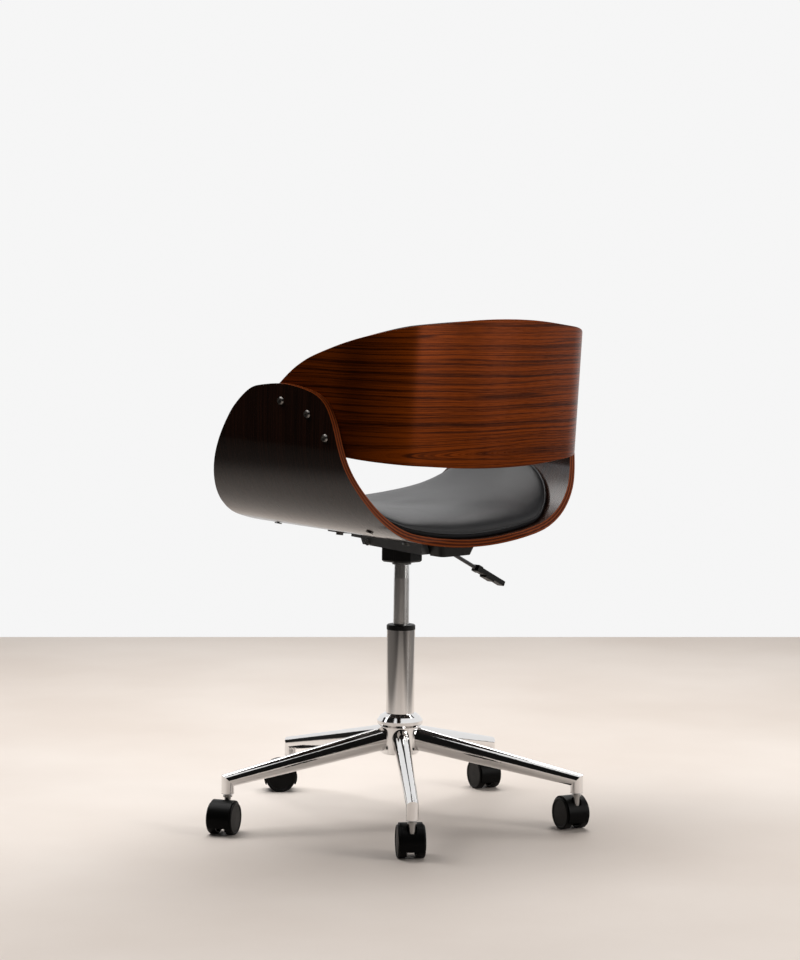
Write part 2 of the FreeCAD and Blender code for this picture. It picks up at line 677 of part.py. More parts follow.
GUIDE_FOOT = "cylinder_bottom + guide_inset"
subpart(turned("rod_guide", (
    ("rod_radius + fit_gap", GUIDE_FOOT),
    (BORE + " - fit_gap", GUIDE_FOOT),
    (BORE + " - fit_gap", GUIDE_FOOT + " + guide_tall"),
    ("rod_radius + fit_gap", GUIDE_FOOT + " + guide_tall"),
)), "rod_guide")

subpart(turned("valve_button", (
    ("0", "valve_bottom"),
    ("valve_radius", "valve_bottom"),
    ("valve_radius", "valve_top - valve_head_tall"),
    ("valve_head_radius", "valve_top - valve_head_tall"),
    ("valve_head_radius", "valve_top"),
    ("0", "valve_top"),
)), "valve_button")


# Tilt hub: barrel pressed on the cone, arm forward to the tilt axle, ears for the lever's pin

CONE_DRAW = "(cylinder_radius - cone_top_radius) / (cone_top - cone_bottom)"
BARREL_FOOT_BORE = "cylinder_radius - " + CONE_DRAW + " * (barrel_bottom - cone_bottom) + fit_gap"
barrel = turned("barrel", (
    (BARREL_FOOT_BORE, "barrel_bottom"),
    ("barrel_radius", "barrel_bottom"),
    ("barrel_radius", "barrel_top"),
    ("barrel_mouth_radius", "barrel_top"),
    ("barrel_mouth_radius", "cone_top + seat_gap"),
    ("cone_top_radius + fit_gap", "cone_top"),
))
arm = block("arm_wide", "axle_offset + arm_nose - barrel_mouth_radius - ear_thick", "arm_top - arm_bottom",
            ("0 - arm_wide / 2", "0 - axle_offset - arm_nose", "arm_bottom"))
eye = rod("arm_eye_radius", "arm_wide", ("0 - arm_wide / 2", "0 - axle_offset", "axle_height"), ALONG_X)
LEVER_LEVEL = "valve_top + seat_gap + lever_strip_thick / 2"
ears = block("ear_end - barrel_mouth_radius - ear_thick", "barrel_slot_wide + 2 * ear_thick", "ear_tall",
             ("0 - ear_end", "0 - barrel_slot_wide / 2 - ear_thick", "arm_bottom"))
ear_gap = block("ear_end * 2", "barrel_slot_wide", "ear_tall * 4",
                ("0 - ear_end * 2", "0 - barrel_slot_wide / 2", "barrel_slot_floor"))
axle_bore = rod("axle_radius + fit_gap", "arm_wide * 2",
                ("0 - arm_wide", "0 - axle_offset", "axle_height"), ALONG_X)
pin_bore = rod("lever_pin_radius + fit_gap", "ear_end * 2",
               ("0 - lever_pin_reach", "0 - ear_end", LEVER_LEVEL), ALONG_Y)
subpart(cut(joined(barrel, arm, eye, ears), ear_gap, axle_bore, pin_bore), "tilt_hub")

SEAT_TILT = Placement(
    Vector(0, 0, sizes.seat_height), Rotation(Vector(1, 0, 0), -sizes.seat_slope))


def in_seat(across, along, height):
    """A point of the chair in the seat's own sloping frame."""
    return SEAT_TILT.inverse().multVec(Vector(across, along, height))


def pan_side(along):
    """Outside of the pan's wall at a distance along the seat."""
    share = (along + sizes.pan_front) / (sizes.pan_front + sizes.pan_rear)
    return sizes.pan_wall_front + share * (sizes.pan_wall_rear - sizes.pan_wall_front)


axle_spot = in_seat(0, -sizes.axle_offset, sizes.axle_height)
axle_half = pan_side(axle_spot.y) + sizes.overrun / 2
axle_start = Vector(-axle_half, -sizes.axle_offset, sizes.axle_height)
axle_shape = Part.makeCylinder(sizes.axle_radius, 2 * axle_half, axle_start, Vector(1, 0, 0))
for side in SIDES:
    head_start = axle_start if side < 0 else axle_start + Vector(2 * axle_half, 0, 0)
    head = Part.makeCylinder(
        sizes.axle_head_radius, sizes.axle_head_thick, head_start, Vector(side, 0, 0))
    axle_shape = axle_shape.fuse(head)
shaped("tilt_axle", axle_shape.removeSplitter())


# Tension: knob round the barrel, spring seat that it lifts, torsion springs on the tilt axle

subpart(turned("knob_circlip", (
    ("barrel_radius + fit_gap", "knob_bottom - seat_gap - circlip_thick"),
    ("circlip_radius", "knob_bottom - seat_gap - circlip_thick"),
    ("circlip_radius", "knob_bottom - seat_gap"),
    ("barrel_radius + fit_gap", "knob_bottom - seat_gap"),
)), "knob_circlip")

KNOB_SIDES = 8


def knob_loop(flats, height):
    """An eight-sided loop with flats across X and Y."""
    reach = flats / 2 / math.cos(math.pi / KNOB_SIDES)
    turns = [(corner + 0.5) * 2 * math.pi / KNOB_SIDES for corner in range(KNOB_SIDES)]
    points = [Vector(reach * math.cos(turn), reach * math.sin(turn), height) for turn in turns]
    return Part.makePolygon(points + points[:1])


low, high = sizes.knob_bottom, sizes.knob_top
knob_shape = Part.makeLoft([
    knob_loop(sizes.knob_flats - 2 * sizes.knob_edge, low),
    knob_loop(sizes.knob_flats, low + sizes.knob_edge),
    knob_loop(sizes.knob_flats, high - sizes.knob_rim_edge),
    knob_loop(sizes.knob_flats - 2 * sizes.knob_rim_edge, high),
], True, True)
cup = Part.makeCylinder(sizes.knob_cup_radius, high - low, Vector(0, 0, low + sizes.knob_floor))
eye_hole = Part.makeCylinder(
    sizes.barrel_radius + 2 * sizes.fit_gap, high - low, Vector(0, 0, low - sizes.overrun))
shaped("tension_knob", knob_shape.cut(cup).cut(eye_hole))

SEAT_BORE = "barrel_radius + 2 * fit_gap"
SEAT_UNDER = "spring_seat_top - spring_seat_plate"
subpart(turned("spring_seat", (
    (SEAT_BORE, "knob_bottom + knob_floor + seat_gap"),
    ("spring_seat_sleeve", "knob_bottom + knob_floor + seat_gap"),
    ("spring_seat_sleeve", SEAT_UNDER),
    ("spring_seat_radius", SEAT_UNDER),
    ("spring_seat_radius", "spring_seat_top"),
    (SEAT_BORE, "spring_seat_top"),
)), "spring_seat")


def torsion_spring(side):
    """One spring: a wound sleeve on the axle with a leg to the spring seat."""
    wire = sizes.spring_wire_radius
    middle = sizes.spring_coil_radius - wire
    long = sizes.spring_turns * sizes.spring_pitch
    start = Vector(side * sizes.spring_start, -sizes.axle_offset, sizes.axle_height)
    axis = Vector(side, 0, 0)
    sleeve = Part.makeCylinder(middle + wire, long, start, axis)
    hollow = Part.makeCylinder(middle - wire, long, start, axis)
    leg_x = side * (sizes.spring_start + wire)
    leg_back = sizes.spring_leg_start
    leg_drop = math.sqrt(middle ** 2 - leg_back ** 2)
    leg_low = Vector(leg_x, leg_back - sizes.axle_offset, sizes.axle_height - leg_drop)
    rest = sizes.spring_seat_top + wire + sizes.seat_gap
    leg_high = Vector(leg_x, -sizes.spring_leg_end, rest)
    run = leg_high - leg_low
    leg = Part.makeCylinder(wire, run.Length, leg_low, run)
    return sleeve.fuse(leg).cut(hollow)


shaped("tilt_springs", Part.makeCompound([torsion_spring(side) for side in SIDES]))


# Lever: flat end over the valve button, bent rod out under the sitter's right, handle

lever_level = sizes.valve_top + sizes.seat_gap + sizes.lever_strip_thick / 2
strip = Part.makeBox(
    sizes.lever_strip_end + sizes.lever_strip_tip,
    sizes.lever_strip_wide,
    sizes.lever_strip_thick,
    Vector(-sizes.lever_strip_end, -sizes.lever_strip_wide / 2,
           lever_level - sizes.lever_strip_thick / 2),
)
pin_half = sizes.barrel_slot_wide / 2 + sizes.ear_thick - sizes.seat_gap
lever_pin = Part.makeCylinder(
    sizes.lever_pin_radius, 2 * pin_half,
    Vector(-sizes.lever_pin_reach, -pin_half, lever_level), Vector(0, 1, 0))
slope = math.radians(sizes.lever_slope)
bend_half = sizes.lever_bend_radius * math.tan(slope / 2)
bend_at = Vector(-sizes.lever_bend_reach, 0, lever_level)
down = Vector(-math.cos(slope), 0, -math.sin(slope))
rod_start = Vector(-sizes.lever_strip_end + sizes.overrun, 0, lever_level)
bend_start = bend_at + Vector(bend_half, 0, 0)
bend_end = bend_at + down * bend_half
bend_centre = bend_start - Vector(0, 0, sizes.lever_bend_radius)
bend_middle = bend_centre + Vector(
    -math.sin(slope / 2), 0, math.cos(slope / 2)) * sizes.lever_bend_radius
rod_stop = bend_at + down * ((sizes.lever_rod_end - sizes.lever_bend_reach) / math.cos(slope))
path = Part.Wire([
    Part.LineSegment(rod_start, bend_start).toShape(),
    Part.Arc(bend_start, bend_middle, bend_end).toShape(),
    Part.LineSegment(bend_end, rod_stop).toShape(),
])
rod_ring = Part.Wire([Part.Circle(rod_start, Vector(1, 0, 0), sizes.lever_rod_radius).toShape()])
lever_shape = path.makePipeShell([rod_ring], True, False)
shaped("lever_rod", lever_shape.fuse(strip).fuse(lever_pin))

# The handle is drawn along +X from the bend and then turned onto the sloping rod.
handle_from = (sizes.handle_start - sizes.lever_bend_reach) / math.cos(slope)
handle_to = (sizes.handle_end - sizes.lever_bend_reach) / math.cos(slope)


def rounded_box(long, wide, tall, start, middle_z):
    """A box along X with all its edges rounded."""
    box = Part.makeBox(long, wide, tall, Vector(start, -wide / 2, middle_z - tall / 2))
    return box.makeFillet(sizes.handle_edge, box.Edges)


handle_shape = rounded_box(handle_to - handle_from, sizes.handle_wide, sizes.handle_tall, handle_from, 0)
handle_shape = handle_shape.fuse(rounded_box(
    sizes.handle_collar_long, sizes.handle_wide, sizes.handle_collar_tall, handle_from, 0))
handle_shape = handle_shape.fuse(rounded_box(
    sizes.handle_step_long, sizes.handle_wide, sizes.handle_tall,
    handle_from + sizes.handle_step_long, -sizes.handle_step_tall))
handle_bore = Part.makeCylinder(
    sizes.lever_rod_radius + sizes.fit_gap,
    (sizes.lever_rod_end - sizes.lever_bend_reach) / math.cos(slope) + sizes.seat_gap,
    Vector(), Vector(1, 0, 0))
handle_shape = handle_shape.cut(handle_bore)
handle_turn = Rotation(Vector(0, 0, 1), 180).multiply(Rotation(Vector(0, 1, 0), sizes.lever_slope))
shaped("lever_handle", handle_shape, Placement(bend_at, handle_turn))


# Seat shell: one bent plywood piece, its section a U that opens to the front, its arms rounded

SPLAY = math.tan(math.radians(sizes.arm_splay))
SQUARE = math.sqrt(1 + SPLAY ** 2)


def arm_side(along):
    """Outside of an arm from the middle plane, at a distance along the seat."""
    return sizes.shell_half_wide + SPLAY * (sizes.splay_along - along)


def bend_turn(along):
    """Angle at which the shallow bend of the seat runs into the bend of an arm."""
    return math.asin((arm_side(along) - sizes.arm_bend_radius)
                     / (sizes.seat_bend_radius - sizes.arm_bend_radius))


def u_point(run, depth, along=0.0):
    """Point of the U at a run along its outer face and a depth inside that face."""
    big, small, turn = sizes.seat_bend_radius, sizes.arm_bend_radius, bend_turn(along)
    reach = abs(run)
    side = 1 if run >= 0 else -1
    if reach <= big * turn:
        angle = reach / big
        wide, high = (big - depth) * math.sin(angle), big - (big - depth) * math.cos(angle)
        return Vector(side * wide, along, high)
    centre_x, centre_z = (big - small) * math.sin(turn), big - (big - small) * math.cos(turn)
    angle = min(turn + (reach - big * turn) / small, math.pi / 2)
    rise = reach - big * turn - (angle - turn) * small
    wide = centre_x + (small - depth) * math.sin(angle)
    return Vector(side * wide, along, centre_z - (small - depth) * math.cos(angle) + rise)


def arc(first, middle, last):
    return Part.Arc(first, middle, last).toShape()


def line(first, last):
    return Part.LineSegment(first, last).toShape()


def u_runs(along):
    """Runs at which the seat's bend ends and the arm's bend ends."""
    turn = bend_turn(along)
    big_run = sizes.seat_bend_radius * turn
    return big_run, big_run + sizes.arm_bend_radius * (math.pi / 2 - turn)


def u_line(depth, reach, along):
    """Edges of the U from left to right at a depth, cut off at a run to each side."""
    big_run, full_run = u_runs(along)

    def at(run):
        return u_point(run, depth, along)

    if reach <= big_run:
        return [arc(at(-reach), at(0), at(reach))]
    corner = min(reach, full_run)
    half = (corner + big_run) / 2
    edges = [
        arc(at(-corner), at(-half), at(-big_run)),
        arc(at(-big_run), at(0), at(big_run)),
        arc(at(big_run), at(half), at(corner)),
    ]
    if reach > full_run:
        edges = [line(at(-reach), at(-full_run))] + edges + [line(at(full_run), at(reach))]
    return edges


def u_loop(outer, inner, reach, along):
    """Closed section between two depths of the U."""
    left = line(u_point(-reach, outer, along), u_point(-reach, inner, along))
    right = line(u_point(reach, outer, along), u_point(reach, inner, along))
    edges = u_line(outer, reach, along) + [right] + u_line(inner, reach, along)[::-1] + [left]
    return Part.Wire(Part.__sortEdges__(edges))


def u_band(outer, inner, reach, rear, front):
    """Solid between two depths of the U, from a rear to a front edge."""
    loops = [u_loop(outer, inner, reach, along) for along in (-front, rear)]
    return Part.makeLoft(loops, True, True)


def smooth(points):
    curve = Part.BSplineCurve()
    curve.interpolate(points)
    return curve.toShape()


# Side view of an arm: shares of the shell's rear and front, and of the arm's height.
ARM_REAR_SHARES = (
    (1.0, 0.054),
    (0.967, 0.176),
    (0.9, 0.324),
    (0.798, 0.496),
    (0.72, 0.665),
    (0.644, 0.809),
    (0.546, 0.911),
    (0.383, 0.967),
    (0.093, 1.0),
)
ARM_FRONT_SHARES = (
    (0.129, 0.985),
    (0.237, 0.956),
    (0.346, 0.875),
    (0.433, 0.772),
    (0.552, 0.565),
    (0.669, 0.351),
    (0.767, 0.182),
)


def arm_outline():
    """Side outline of the shell, closed below its underside."""
    height, rear, front = sizes.arm_height, sizes.shell_rear, sizes.shell_front
    points = [Vector(0, rear * share, height * up) for share, up in ARM_REAR_SHARES]
    points += [Vector(0, -front * share, height * up) for share, up in ARM_FRONT_SHARES]
    below = -sizes.overrun
    beyond = -front - sizes.overrun
    first, last = points[0], points[-1]
    edges = [
        smooth(points),
        line(last, Vector(0, beyond, last.z)),
        line(Vector(0, beyond, last.z), Vector(0, beyond, below)),
        line(Vector(0, beyond, below), Vector(0, rear, below)),
        line(Vector(0, rear, below), first),
    ]
    return Part.Face(Part.Wire(edges))


def front_curve():
    """Plan of the shell: its front edge bowed forward, its corners drawn back."""
    half = sizes.shell_front_wide / 2
    side, bow = -sizes.shell_front_side, -sizes.shell_front
    corner, corner_x = -sizes.shell_corner_along, sizes.shell_corner_side
    wide = arm_side(-sizes.shell_front) + sizes.overrun
    rear = sizes.shell_rear + sizes.overrun
    below = -sizes.overrun
    ring = [
        (half, side), (corner_x, corner), (wide, corner), (wide, rear),
        (-wide, rear), (-wide, corner), (-corner_x, corner), (-half, side),
    ]
    corners = [Vector(x, y, below) for x, y in ring]
    edges = [line(first, last) for first, last in zip(corners, corners[1:])]
    edges.append(arc(corners[-1], Vector(0, bow, below), corners[0]))
    return Part.Face(Part.Wire(edges)).extrude(Vector(0, 0, sizes.arm_height * 2))


def across(face, half_wide):
    """A side outline grown to a width on both sides of the middle plane."""
    moved = face.copy()
    moved.translate(Vector(-half_wide, 0, 0))
    return moved.extrude(Vector(2 * half_wide, 0, 0))


ARM_BOLTS = (
    (sizes.bolt_front_along, sizes.bolt_front_height),
    (sizes.bolt_middle_along, sizes.bolt_middle_height),
    (sizes.bolt_rear_along, sizes.bolt_rear_height),
)


def arm_out(side):
    """Direction square to an arm, outwards."""
    return Vector(side, SPLAY, 0) * (1 / SQUARE)


def arm_rod(radius, side, spot, inner, outer):
    """A rod square to an arm, from a distance inside its outer face to one outside it."""
    along, height = spot
    start = Vector(side * arm_side(along), along, height) - arm_out(side) * inner
    return Part.makeCylinder(radius, inner + outer, start, arm_out(side))


WIDEST = sizes.shell_half_wide + sizes.arm_height
shell_run = u_runs(sizes.shell_rear)[1] + sizes.arm_height
shell_shape = u_band(0, sizes.ply_thick, shell_run,
                     sizes.shell_rear + sizes.overrun, sizes.shell_front + sizes.overrun)
shell_shape = shell_shape.common(across(arm_outline(), WIDEST))
shell_shape = shell_shape.common(front_curve())
hole_radius = sizes.bolt_radius + sizes.bolt_hole_gap
bolt_depth = sizes.ply_thick + sizes.panel_thick + sizes.overrun * 2
arm_holes = [arm_rod(hole_radius, side, spot, bolt_depth, sizes.overrun)
             for side in SIDES for spot in ARM_BOLTS]
for hole in arm_holes:
    shell_shape = shell_shape.cut(hole)


# Back panel: bent plywood lying on the insides of the arms, leaning back, cut to a curve

PANEL_SIDE = arm_side(0) - sizes.ply_thick - sizes.seat_gap * SQUARE


def panel_centre(level):
    """Middle of the corner's bend, and of the rear's bend, at a level."""
    corner, rear = sizes.panel_corner_radius, sizes.panel_rear_radius
    lean = math.tan(math.radians(sizes.panel_lean))
    rear_y = sizes.panel_rear + (level - sizes.panel_level) * lean - rear
    side = PANEL_SIDE - corner * SQUARE
    twice = 2 * SPLAY * side + 2 * rear_y
    rest = side ** 2 + rear_y ** 2 - (rear - corner) ** 2
    corner_y = (twice + math.sqrt(twice ** 2 - 4 * SQUARE ** 2 * rest)) / (2 * SQUARE ** 2)
    return side - SPLAY * corner_y, corner_y, rear_y


def panel_edges(depth, level, front):
    """Plan of the back panel at a depth inside its outer face, at a level."""
    corner_x, corner_y, rear_y = panel_centre(level)
    reach = sizes.panel_corner_radius - depth
    first = math.atan(SPLAY)
    last = math.atan2(corner_y - rear_y, corner_x)

    def bend(side, angle):
        return Vector(side * (corner_x + reach * math.cos(angle)),
                      corner_y + reach * math.sin(angle), level)

    def tip(side):
        return Vector(side * (PANEL_SIDE - depth * SQUARE - SPLAY * front), front, level)

    half = (first + last) / 2
    rear = Vector(0, rear_y + sizes.panel_rear_radius - depth, level)
    return [
        line(tip(-1), bend(-1, first)),
        arc(bend(-1, first), bend(-1, half), bend(-1, last)),
        arc(bend(-1, last), rear, bend(1, last)),
        arc(bend(1, last), bend(1, half), bend(1, first)),
        line(bend(1, first), tip(1)),
    ]


def panel_band(outer, inner, low, high, front):
    """Leaning band between two depths of the panel's plan and two levels."""
    loops = []
    for level in (low, high):
        outside = panel_edges(outer, level, front)
        inside = panel_edges(inner, level, front)
        left = line(inside[0].Vertexes[0].Point, outside[0].Vertexes[0].Point)
        right = line(outside[-1].Vertexes[-1].Point, inside[-1].Vertexes[-1].Point)
        loops.append(Part.Wire(Part.__sortEdges__(outside + [right] + inside[::-1] + [left])))
    return Part.makeLoft(loops, True, True)


# Heights of the panel's edges, as shares of its rear and of the rise or drop to its middle.
PANEL_TOP_SHARES = (
    (-0.184, 0.0),
    (0.043, 0.329),
    (0.188, 0.485),
    (0.333, 0.586),
    (0.608, 0.737),
    (0.801, 0.838),
    (0.954, 0.932),
    (1.026, 1.0),
)
PANEL_LOW_SHARES = (
    (-0.184, 0.0),
    (0.05, 0.31),
    (0.263, 0.553),
    (0.438, 0.671),
    (0.61, 0.743),
    (0.875, 0.86),
    (0.998, 1.0),
)


def panel_profile(margin_top, margin_low):
    """Side view between the panel's lower and upper edges."""
    rear = sizes.panel_rear
    rise = sizes.panel_top + margin_top - sizes.panel_tip_rise
    drop = sizes.panel_tip_drop - sizes.panel_bottom - margin_low
    upper = [Vector(0, rear * share, sizes.panel_tip_rise + rise * up) for share, up in PANEL_TOP_SHARES]
    lower = [Vector(0, rear * share, sizes.panel_tip_drop - drop * up) for share, up in PANEL_LOW_SHARES]
    upper_end = upper[-1] + Vector(0, sizes.panel_thick, 0)
    lower_end = Vector(0, upper_end.y, lower[-1].z)
    edges = [
        smooth(upper),
        line(upper[-1], upper_end),
        line(upper_end, lower_end),
        line(lower_end, lower[-1]),
        smooth(lower),
        line(lower[0], upper[0]),
    ]
    return Part.Face(Part.Wire(Part.__sortEdges__(edges)))


panel_shape = panel_band(0, sizes.panel_thick, sizes.panel_bottom - sizes.overrun,
                         sizes.panel_top + sizes.overrun, -sizes.panel_front - sizes.overrun)
panel_shape = panel_shape.common(across(panel_profile(0, 0), WIDEST))
panel_shape = panel_shape.cut(u_band(0, sizes.ply_thick + sizes.seat_gap, shell_run,
                                     sizes.shell_rear, sizes.shell_front))
for hole in arm_holes:
    panel_shape = panel_shape.cut(hole)
shaped("back_panel", panel_shape, SEAT_TILT)


# Arm bolts and sleeve nuts, square to the splayed arms

def nut_depth(spot):
    """Depth of the nut's seat from an arm's outer face, where the panel may already bend."""
    along, height = spot
    corner_x, corner_y, rear_y = panel_centre(height)
    past = (along - corner_y - SPLAY * (arm_side(along) - corner_x)) / SQUARE + sizes.nut_radius
    reach = sizes.panel_corner_radius - sizes.panel_thick
    sink = reach - math.sqrt(reach ** 2 - max(0.0, past) ** 2)
    return sizes.ply_thick + sizes.seat_gap + sizes.panel_thick + sink + sizes.fit_gap


bolts, nuts, nut_pockets = [], [], []
for side in SIDES:
    for spot in ARM_BOLTS:
        out = arm_out(side)
        face = Vector(side * arm_side(spot[0]), *spot)
        nut_face = face - out * nut_depth(spot)
        shank_end = nut_face - out * (sizes.nut_tall / 2)
        head_foot = face + out * sizes.fit_gap
        shank = Part.makeCylinder(sizes.bolt_radius, (head_foot - shank_end).Length, shank_end, out)
        head = Part.makeCone(sizes.bolt_head_radius, sizes.bolt_head_radius - sizes.bolt_head_tall / 2,
                             sizes.bolt_head_tall, head_foot, out)
        socket = Part.makeCylinder(sizes.bolt_socket_radius, sizes.bolt_head_tall,
                                   head_foot + out * (sizes.bolt_head_tall / 2), out)
        bolts.append(shank.fuse(head).cut(socket))
        nut = Part.makeCone(sizes.nut_radius, sizes.nut_radius - sizes.nut_tall / 2, sizes.nut_tall,
                            nut_face, out * -1)
        thread = Part.makeCylinder(sizes.bolt_radius + sizes.fit_gap, sizes.nut_tall * 2,
                                   shank_end - out * sizes.fit_gap, out)
        nuts.append(nut.cut(thread))
        nut_pockets.append(Part.makeCylinder(
            sizes.nut_radius + sizes.seat_gap, sizes.nut_tall + sizes.panel_thick,
            nut_face - out * (sizes.nut_tall + sizes.seat_gap), out))
shaped("arm_bolts", Part.makeCompound(bolts), SEAT_TILT)
shaped("arm_nuts", Part.makeCompound(nuts), SEAT_TILT)


# Seat pan: pressed steel under the shell, carrying the tilt axle

flange_deep = -sizes.seat_gap - sizes.pan_sheet
flange = u_band(-sizes.seat_gap, flange_deep, sizes.pan_ear, sizes.pan_rear, sizes.pan_front)
notch_long = sizes.pan_front + sizes.pan_rear - 2 * sizes.pan_ear_long
for side in SIDES:
    near = sizes.pan_flange if side > 0 else -sizes.pan_flange - sizes.pan_ear
    notch = Part.makeBox(
        sizes.pan_ear, notch_long, sizes.pan_deep * 2,
        Vector(near, -sizes.pan_front + sizes.pan_ear_long, -sizes.pan_deep))
    flange = flange.cut(notch)


def pan_block(inset, low, high):
    """Tapered block of the pan's plan, drawn in by a wall's thickness."""
    front, rear = -sizes.pan_front + inset, sizes.pan_rear - inset
    wide_front, wide_rear = pan_side(front) - inset, pan_side(rear) - inset
    corners = [
        Vector(-wide_front, front, low),
        Vector(wide_front, front, low),
        Vector(wide_rear, rear, low),
        Vector(-wide_rear, rear, low),
    ]
    face = Part.Face(Part.makePolygon(corners + corners[:1]))
    return face.extrude(Vector(0, 0, high - low))


pan_top = sizes.overrun
walls = pan_block(0, -sizes.pan_deep, pan_top).cut(
    pan_block(sizes.pan_sheet, -sizes.pan_deep - sizes.overrun, pan_top + sizes.overrun))
shallow = [
    Vector(0, -sizes.pan_front - sizes.overrun, -sizes.pan_shallow),
    Vector(0, -sizes.pan_step - sizes.pan_step_long, -sizes.pan_shallow),
    Vector(0, -sizes.pan_step, -sizes.pan_deep),
    Vector(0, -sizes.pan_front - sizes.overrun, -sizes.pan_deep),
]
shallow = [Vector(0, point.y, point.z - (sizes.overrun if index > 1 else 0))
           for index, point in enumerate(shallow)]
walls = walls.cut(across(Part.Face(Part.makePolygon(shallow + shallow[:1])), sizes.pan_ear))
above = u_band(-sizes.seat_gap - sizes.pan_sheet / 2, sizes.ply_thick + sizes.overrun, sizes.pan_ear * 2,
               sizes.pan_rear + sizes.overrun, sizes.pan_front + sizes.overrun)
walls = walls.cut(above)
pan_axle = Part.makeCylinder(
    sizes.axle_radius + sizes.fit_gap, 2 * sizes.pan_ear,
    Vector(-sizes.pan_ear, axle_spot.y, axle_spot.z), Vector(1, 0, 0))
window = Part.makeBox(
    sizes.pan_wall_rear, sizes.lever_window_long, sizes.pan_deep * 2,
    Vector(-sizes.pan_wall_rear - sizes.overrun, -sizes.lever_window_long / 2,
           flange_deep - sizes.pan_deep))
pan_shape = flange.fuse(walls.cut(window)).cut(pan_axle)


def under_shell(radius, length, run, along, top):
    """A rod square to the shell at a run along the bend, its end at a level off the underside."""
    start = u_point(run, top - length, along)
    return Part.makeCylinder(radius, length, start, u_point(run, top, along) - start)


pan_bolts = []
hole_gap = sizes.bolt_hole_gap
for side in SIDES:
    for along in (-sizes.pan_bolt_front, sizes.pan_bolt_rear):
        run = side * sizes.pan_bolt_side
        level = flange_deep - sizes.seat_gap
        head = under_shell(sizes.pan_bolt_head, sizes.pan_bolt_tall, run, along, level)
        shank = under_shell(sizes.pan_bolt_shank, sizes.ply_thick + sizes.pan_bolt_tall, run, along,
                            sizes.ply_thick + level)
        pan_bolts.append(head.fuse(shank).removeSplitter())
        pan_hole = under_shell(sizes.pan_bolt_shank + hole_gap, sizes.ply_thick * 2, run, along,
                               sizes.ply_thick + sizes.seat_gap)
        pan_shape = pan_shape.cut(pan_hole)
        shell_shape = shell_shape.cut(pan_hole)
shaped("seat_pan", pan_shape.removeSplitter(), SEAT_TILT)
shaped("pan_bolts", Part.makeCompound(pan_bolts), SEAT_TILT)

# Four screws hold the cushion's board through the shell.
screws, screw_bores = [], []
for side in SIDES:
    for out, along in ((sizes.screw_front_side, -sizes.screw_front), (sizes.screw_rear_side, sizes.screw_rear)):
        run = side * out
        level = -sizes.seat_gap * 3
        head = under_shell(sizes.pan_bolt_head, sizes.screw_head_tall, run, along, level)
        shank_top = sizes.ply_thick + sizes.screw_bite
        shank = under_shell(sizes.screw_radius, shank_top - level, run, along, shank_top)
        screws.append(head.fuse(shank).removeSplitter())
        shell_shape = shell_shape.cut(under_shell(
            sizes.screw_radius + hole_gap, sizes.ply_thick * 2, run, along,
            sizes.ply_thick + sizes.overrun))
        screw_bores.append(under_shell(
            sizes.screw_radius + sizes.fit_gap, sizes.ply_thick * 2, run, along,
            shank_top + sizes.seat_gap))
shaped("cushion_screws", Part.makeCompound(screws), SEAT_TILT)
shaped("seat_shell", shell_shape, SEAT_TILT)

# Rubber bumper: it hangs under the pan's plate and rests on the nose of the hub's arm.
bumper_spot = in_seat(0, -sizes.bumper_offset, sizes.seat_height)
bumper_top = flange_deep - sizes.fit_gap
bumper = Part.makeCylinder(
    sizes.bumper_radius, sizes.bumper_tall,
    Vector(0, bumper_spot.y, bumper_top - sizes.bumper_tall))
shaped("tilt_bumper", bumper, SEAT_TILT)


# Rear cover: moulded box behind the pan, open at its top, its sides drawn in downwards

def cover_loop(inset, level, narrow):
    half = sizes.cover_wide / 2 - inset - narrow
    front, rear = sizes.cover_front + inset, sizes.cover_rear - inset - narrow / 2
    corners = [
        Vector(-half, front, level),
        Vector(half, front, level),
        Vector(half, rear, level),
        Vector(-half, rear, level),
    ]
    return Part.makePolygon(corners + corners[:1])


cover_deep = -sizes.cover_deep
cover_high = sizes.cover_skin + sizes.overrun
cover_shape = Part.makeLoft([
    cover_loop(0, cover_deep, sizes.cover_taper),
    cover_loop(0, cover_high, 0),
], True, True)
upright = [edge for edge in cover_shape.Edges
           if abs(edge.Vertexes[0].Point.z - edge.Vertexes[-1].Point.z) > sizes.cover_skin
           and edge.CenterOfMass.y > sizes.pan_rear]
cover_shape = cover_shape.makeFillet(sizes.cover_round, upright)
cover_inside = Part.makeLoft([
    cover_loop(sizes.cover_skin, cover_deep + sizes.cover_skin, sizes.cover_taper),
    cover_loop(sizes.cover_skin, cover_high + sizes.overrun, 0),
], True, True)
cover_shape = cover_shape.cut(cover_inside)
cover_shape = cover_shape.cut(u_band(
    -sizes.seat_gap, sizes.ply_thick + sizes.overrun, sizes.cover_wide,
    sizes.cover_rear + sizes.overrun, sizes.overrun))
cover_shape = cover_shape.cut(Part.makeBox(
    sizes.cover_wide, sizes.pan_rear + sizes.seat_gap - sizes.cover_front, sizes.cover_deep * 2,
    Vector(-sizes.cover_wide / 2, sizes.cover_front, -sizes.cover_deep * 1.5)))
shaped("rear_cover", cover_shape, SEAT_TILT)


# Seat cushion: a liner that climbs the arms' bends, with a crown and a piped, rounded edge

# From its front to its rear: shares of its length, of its reach and of its thickness.
CUSHION_SHARES = (
    (0.0, 0.33, 0.5),
    (0.025, 0.44, 0.8),
    (0.068, 0.57, 0.95),
    (0.136, 0.735, 1.0),
    (0.232, 0.89, 1.0),
    (0.37, 0.985, 1.0),
    (0.57, 1.0, 1.0),
    (0.72, 0.945, 1.05),
    (0.825, 0.855, 1.1),
    (0.9, 0.745, 1.1),
    (0.95, 0.635, 1.05),
    (0.985, 0.53, 0.85),
    (1.0, 0.42, 0.5),
)
CROWN_SHARES = (
    (0.74, 0.35),
    (0.5, 0.72),
    (0.25, 0.94),
)


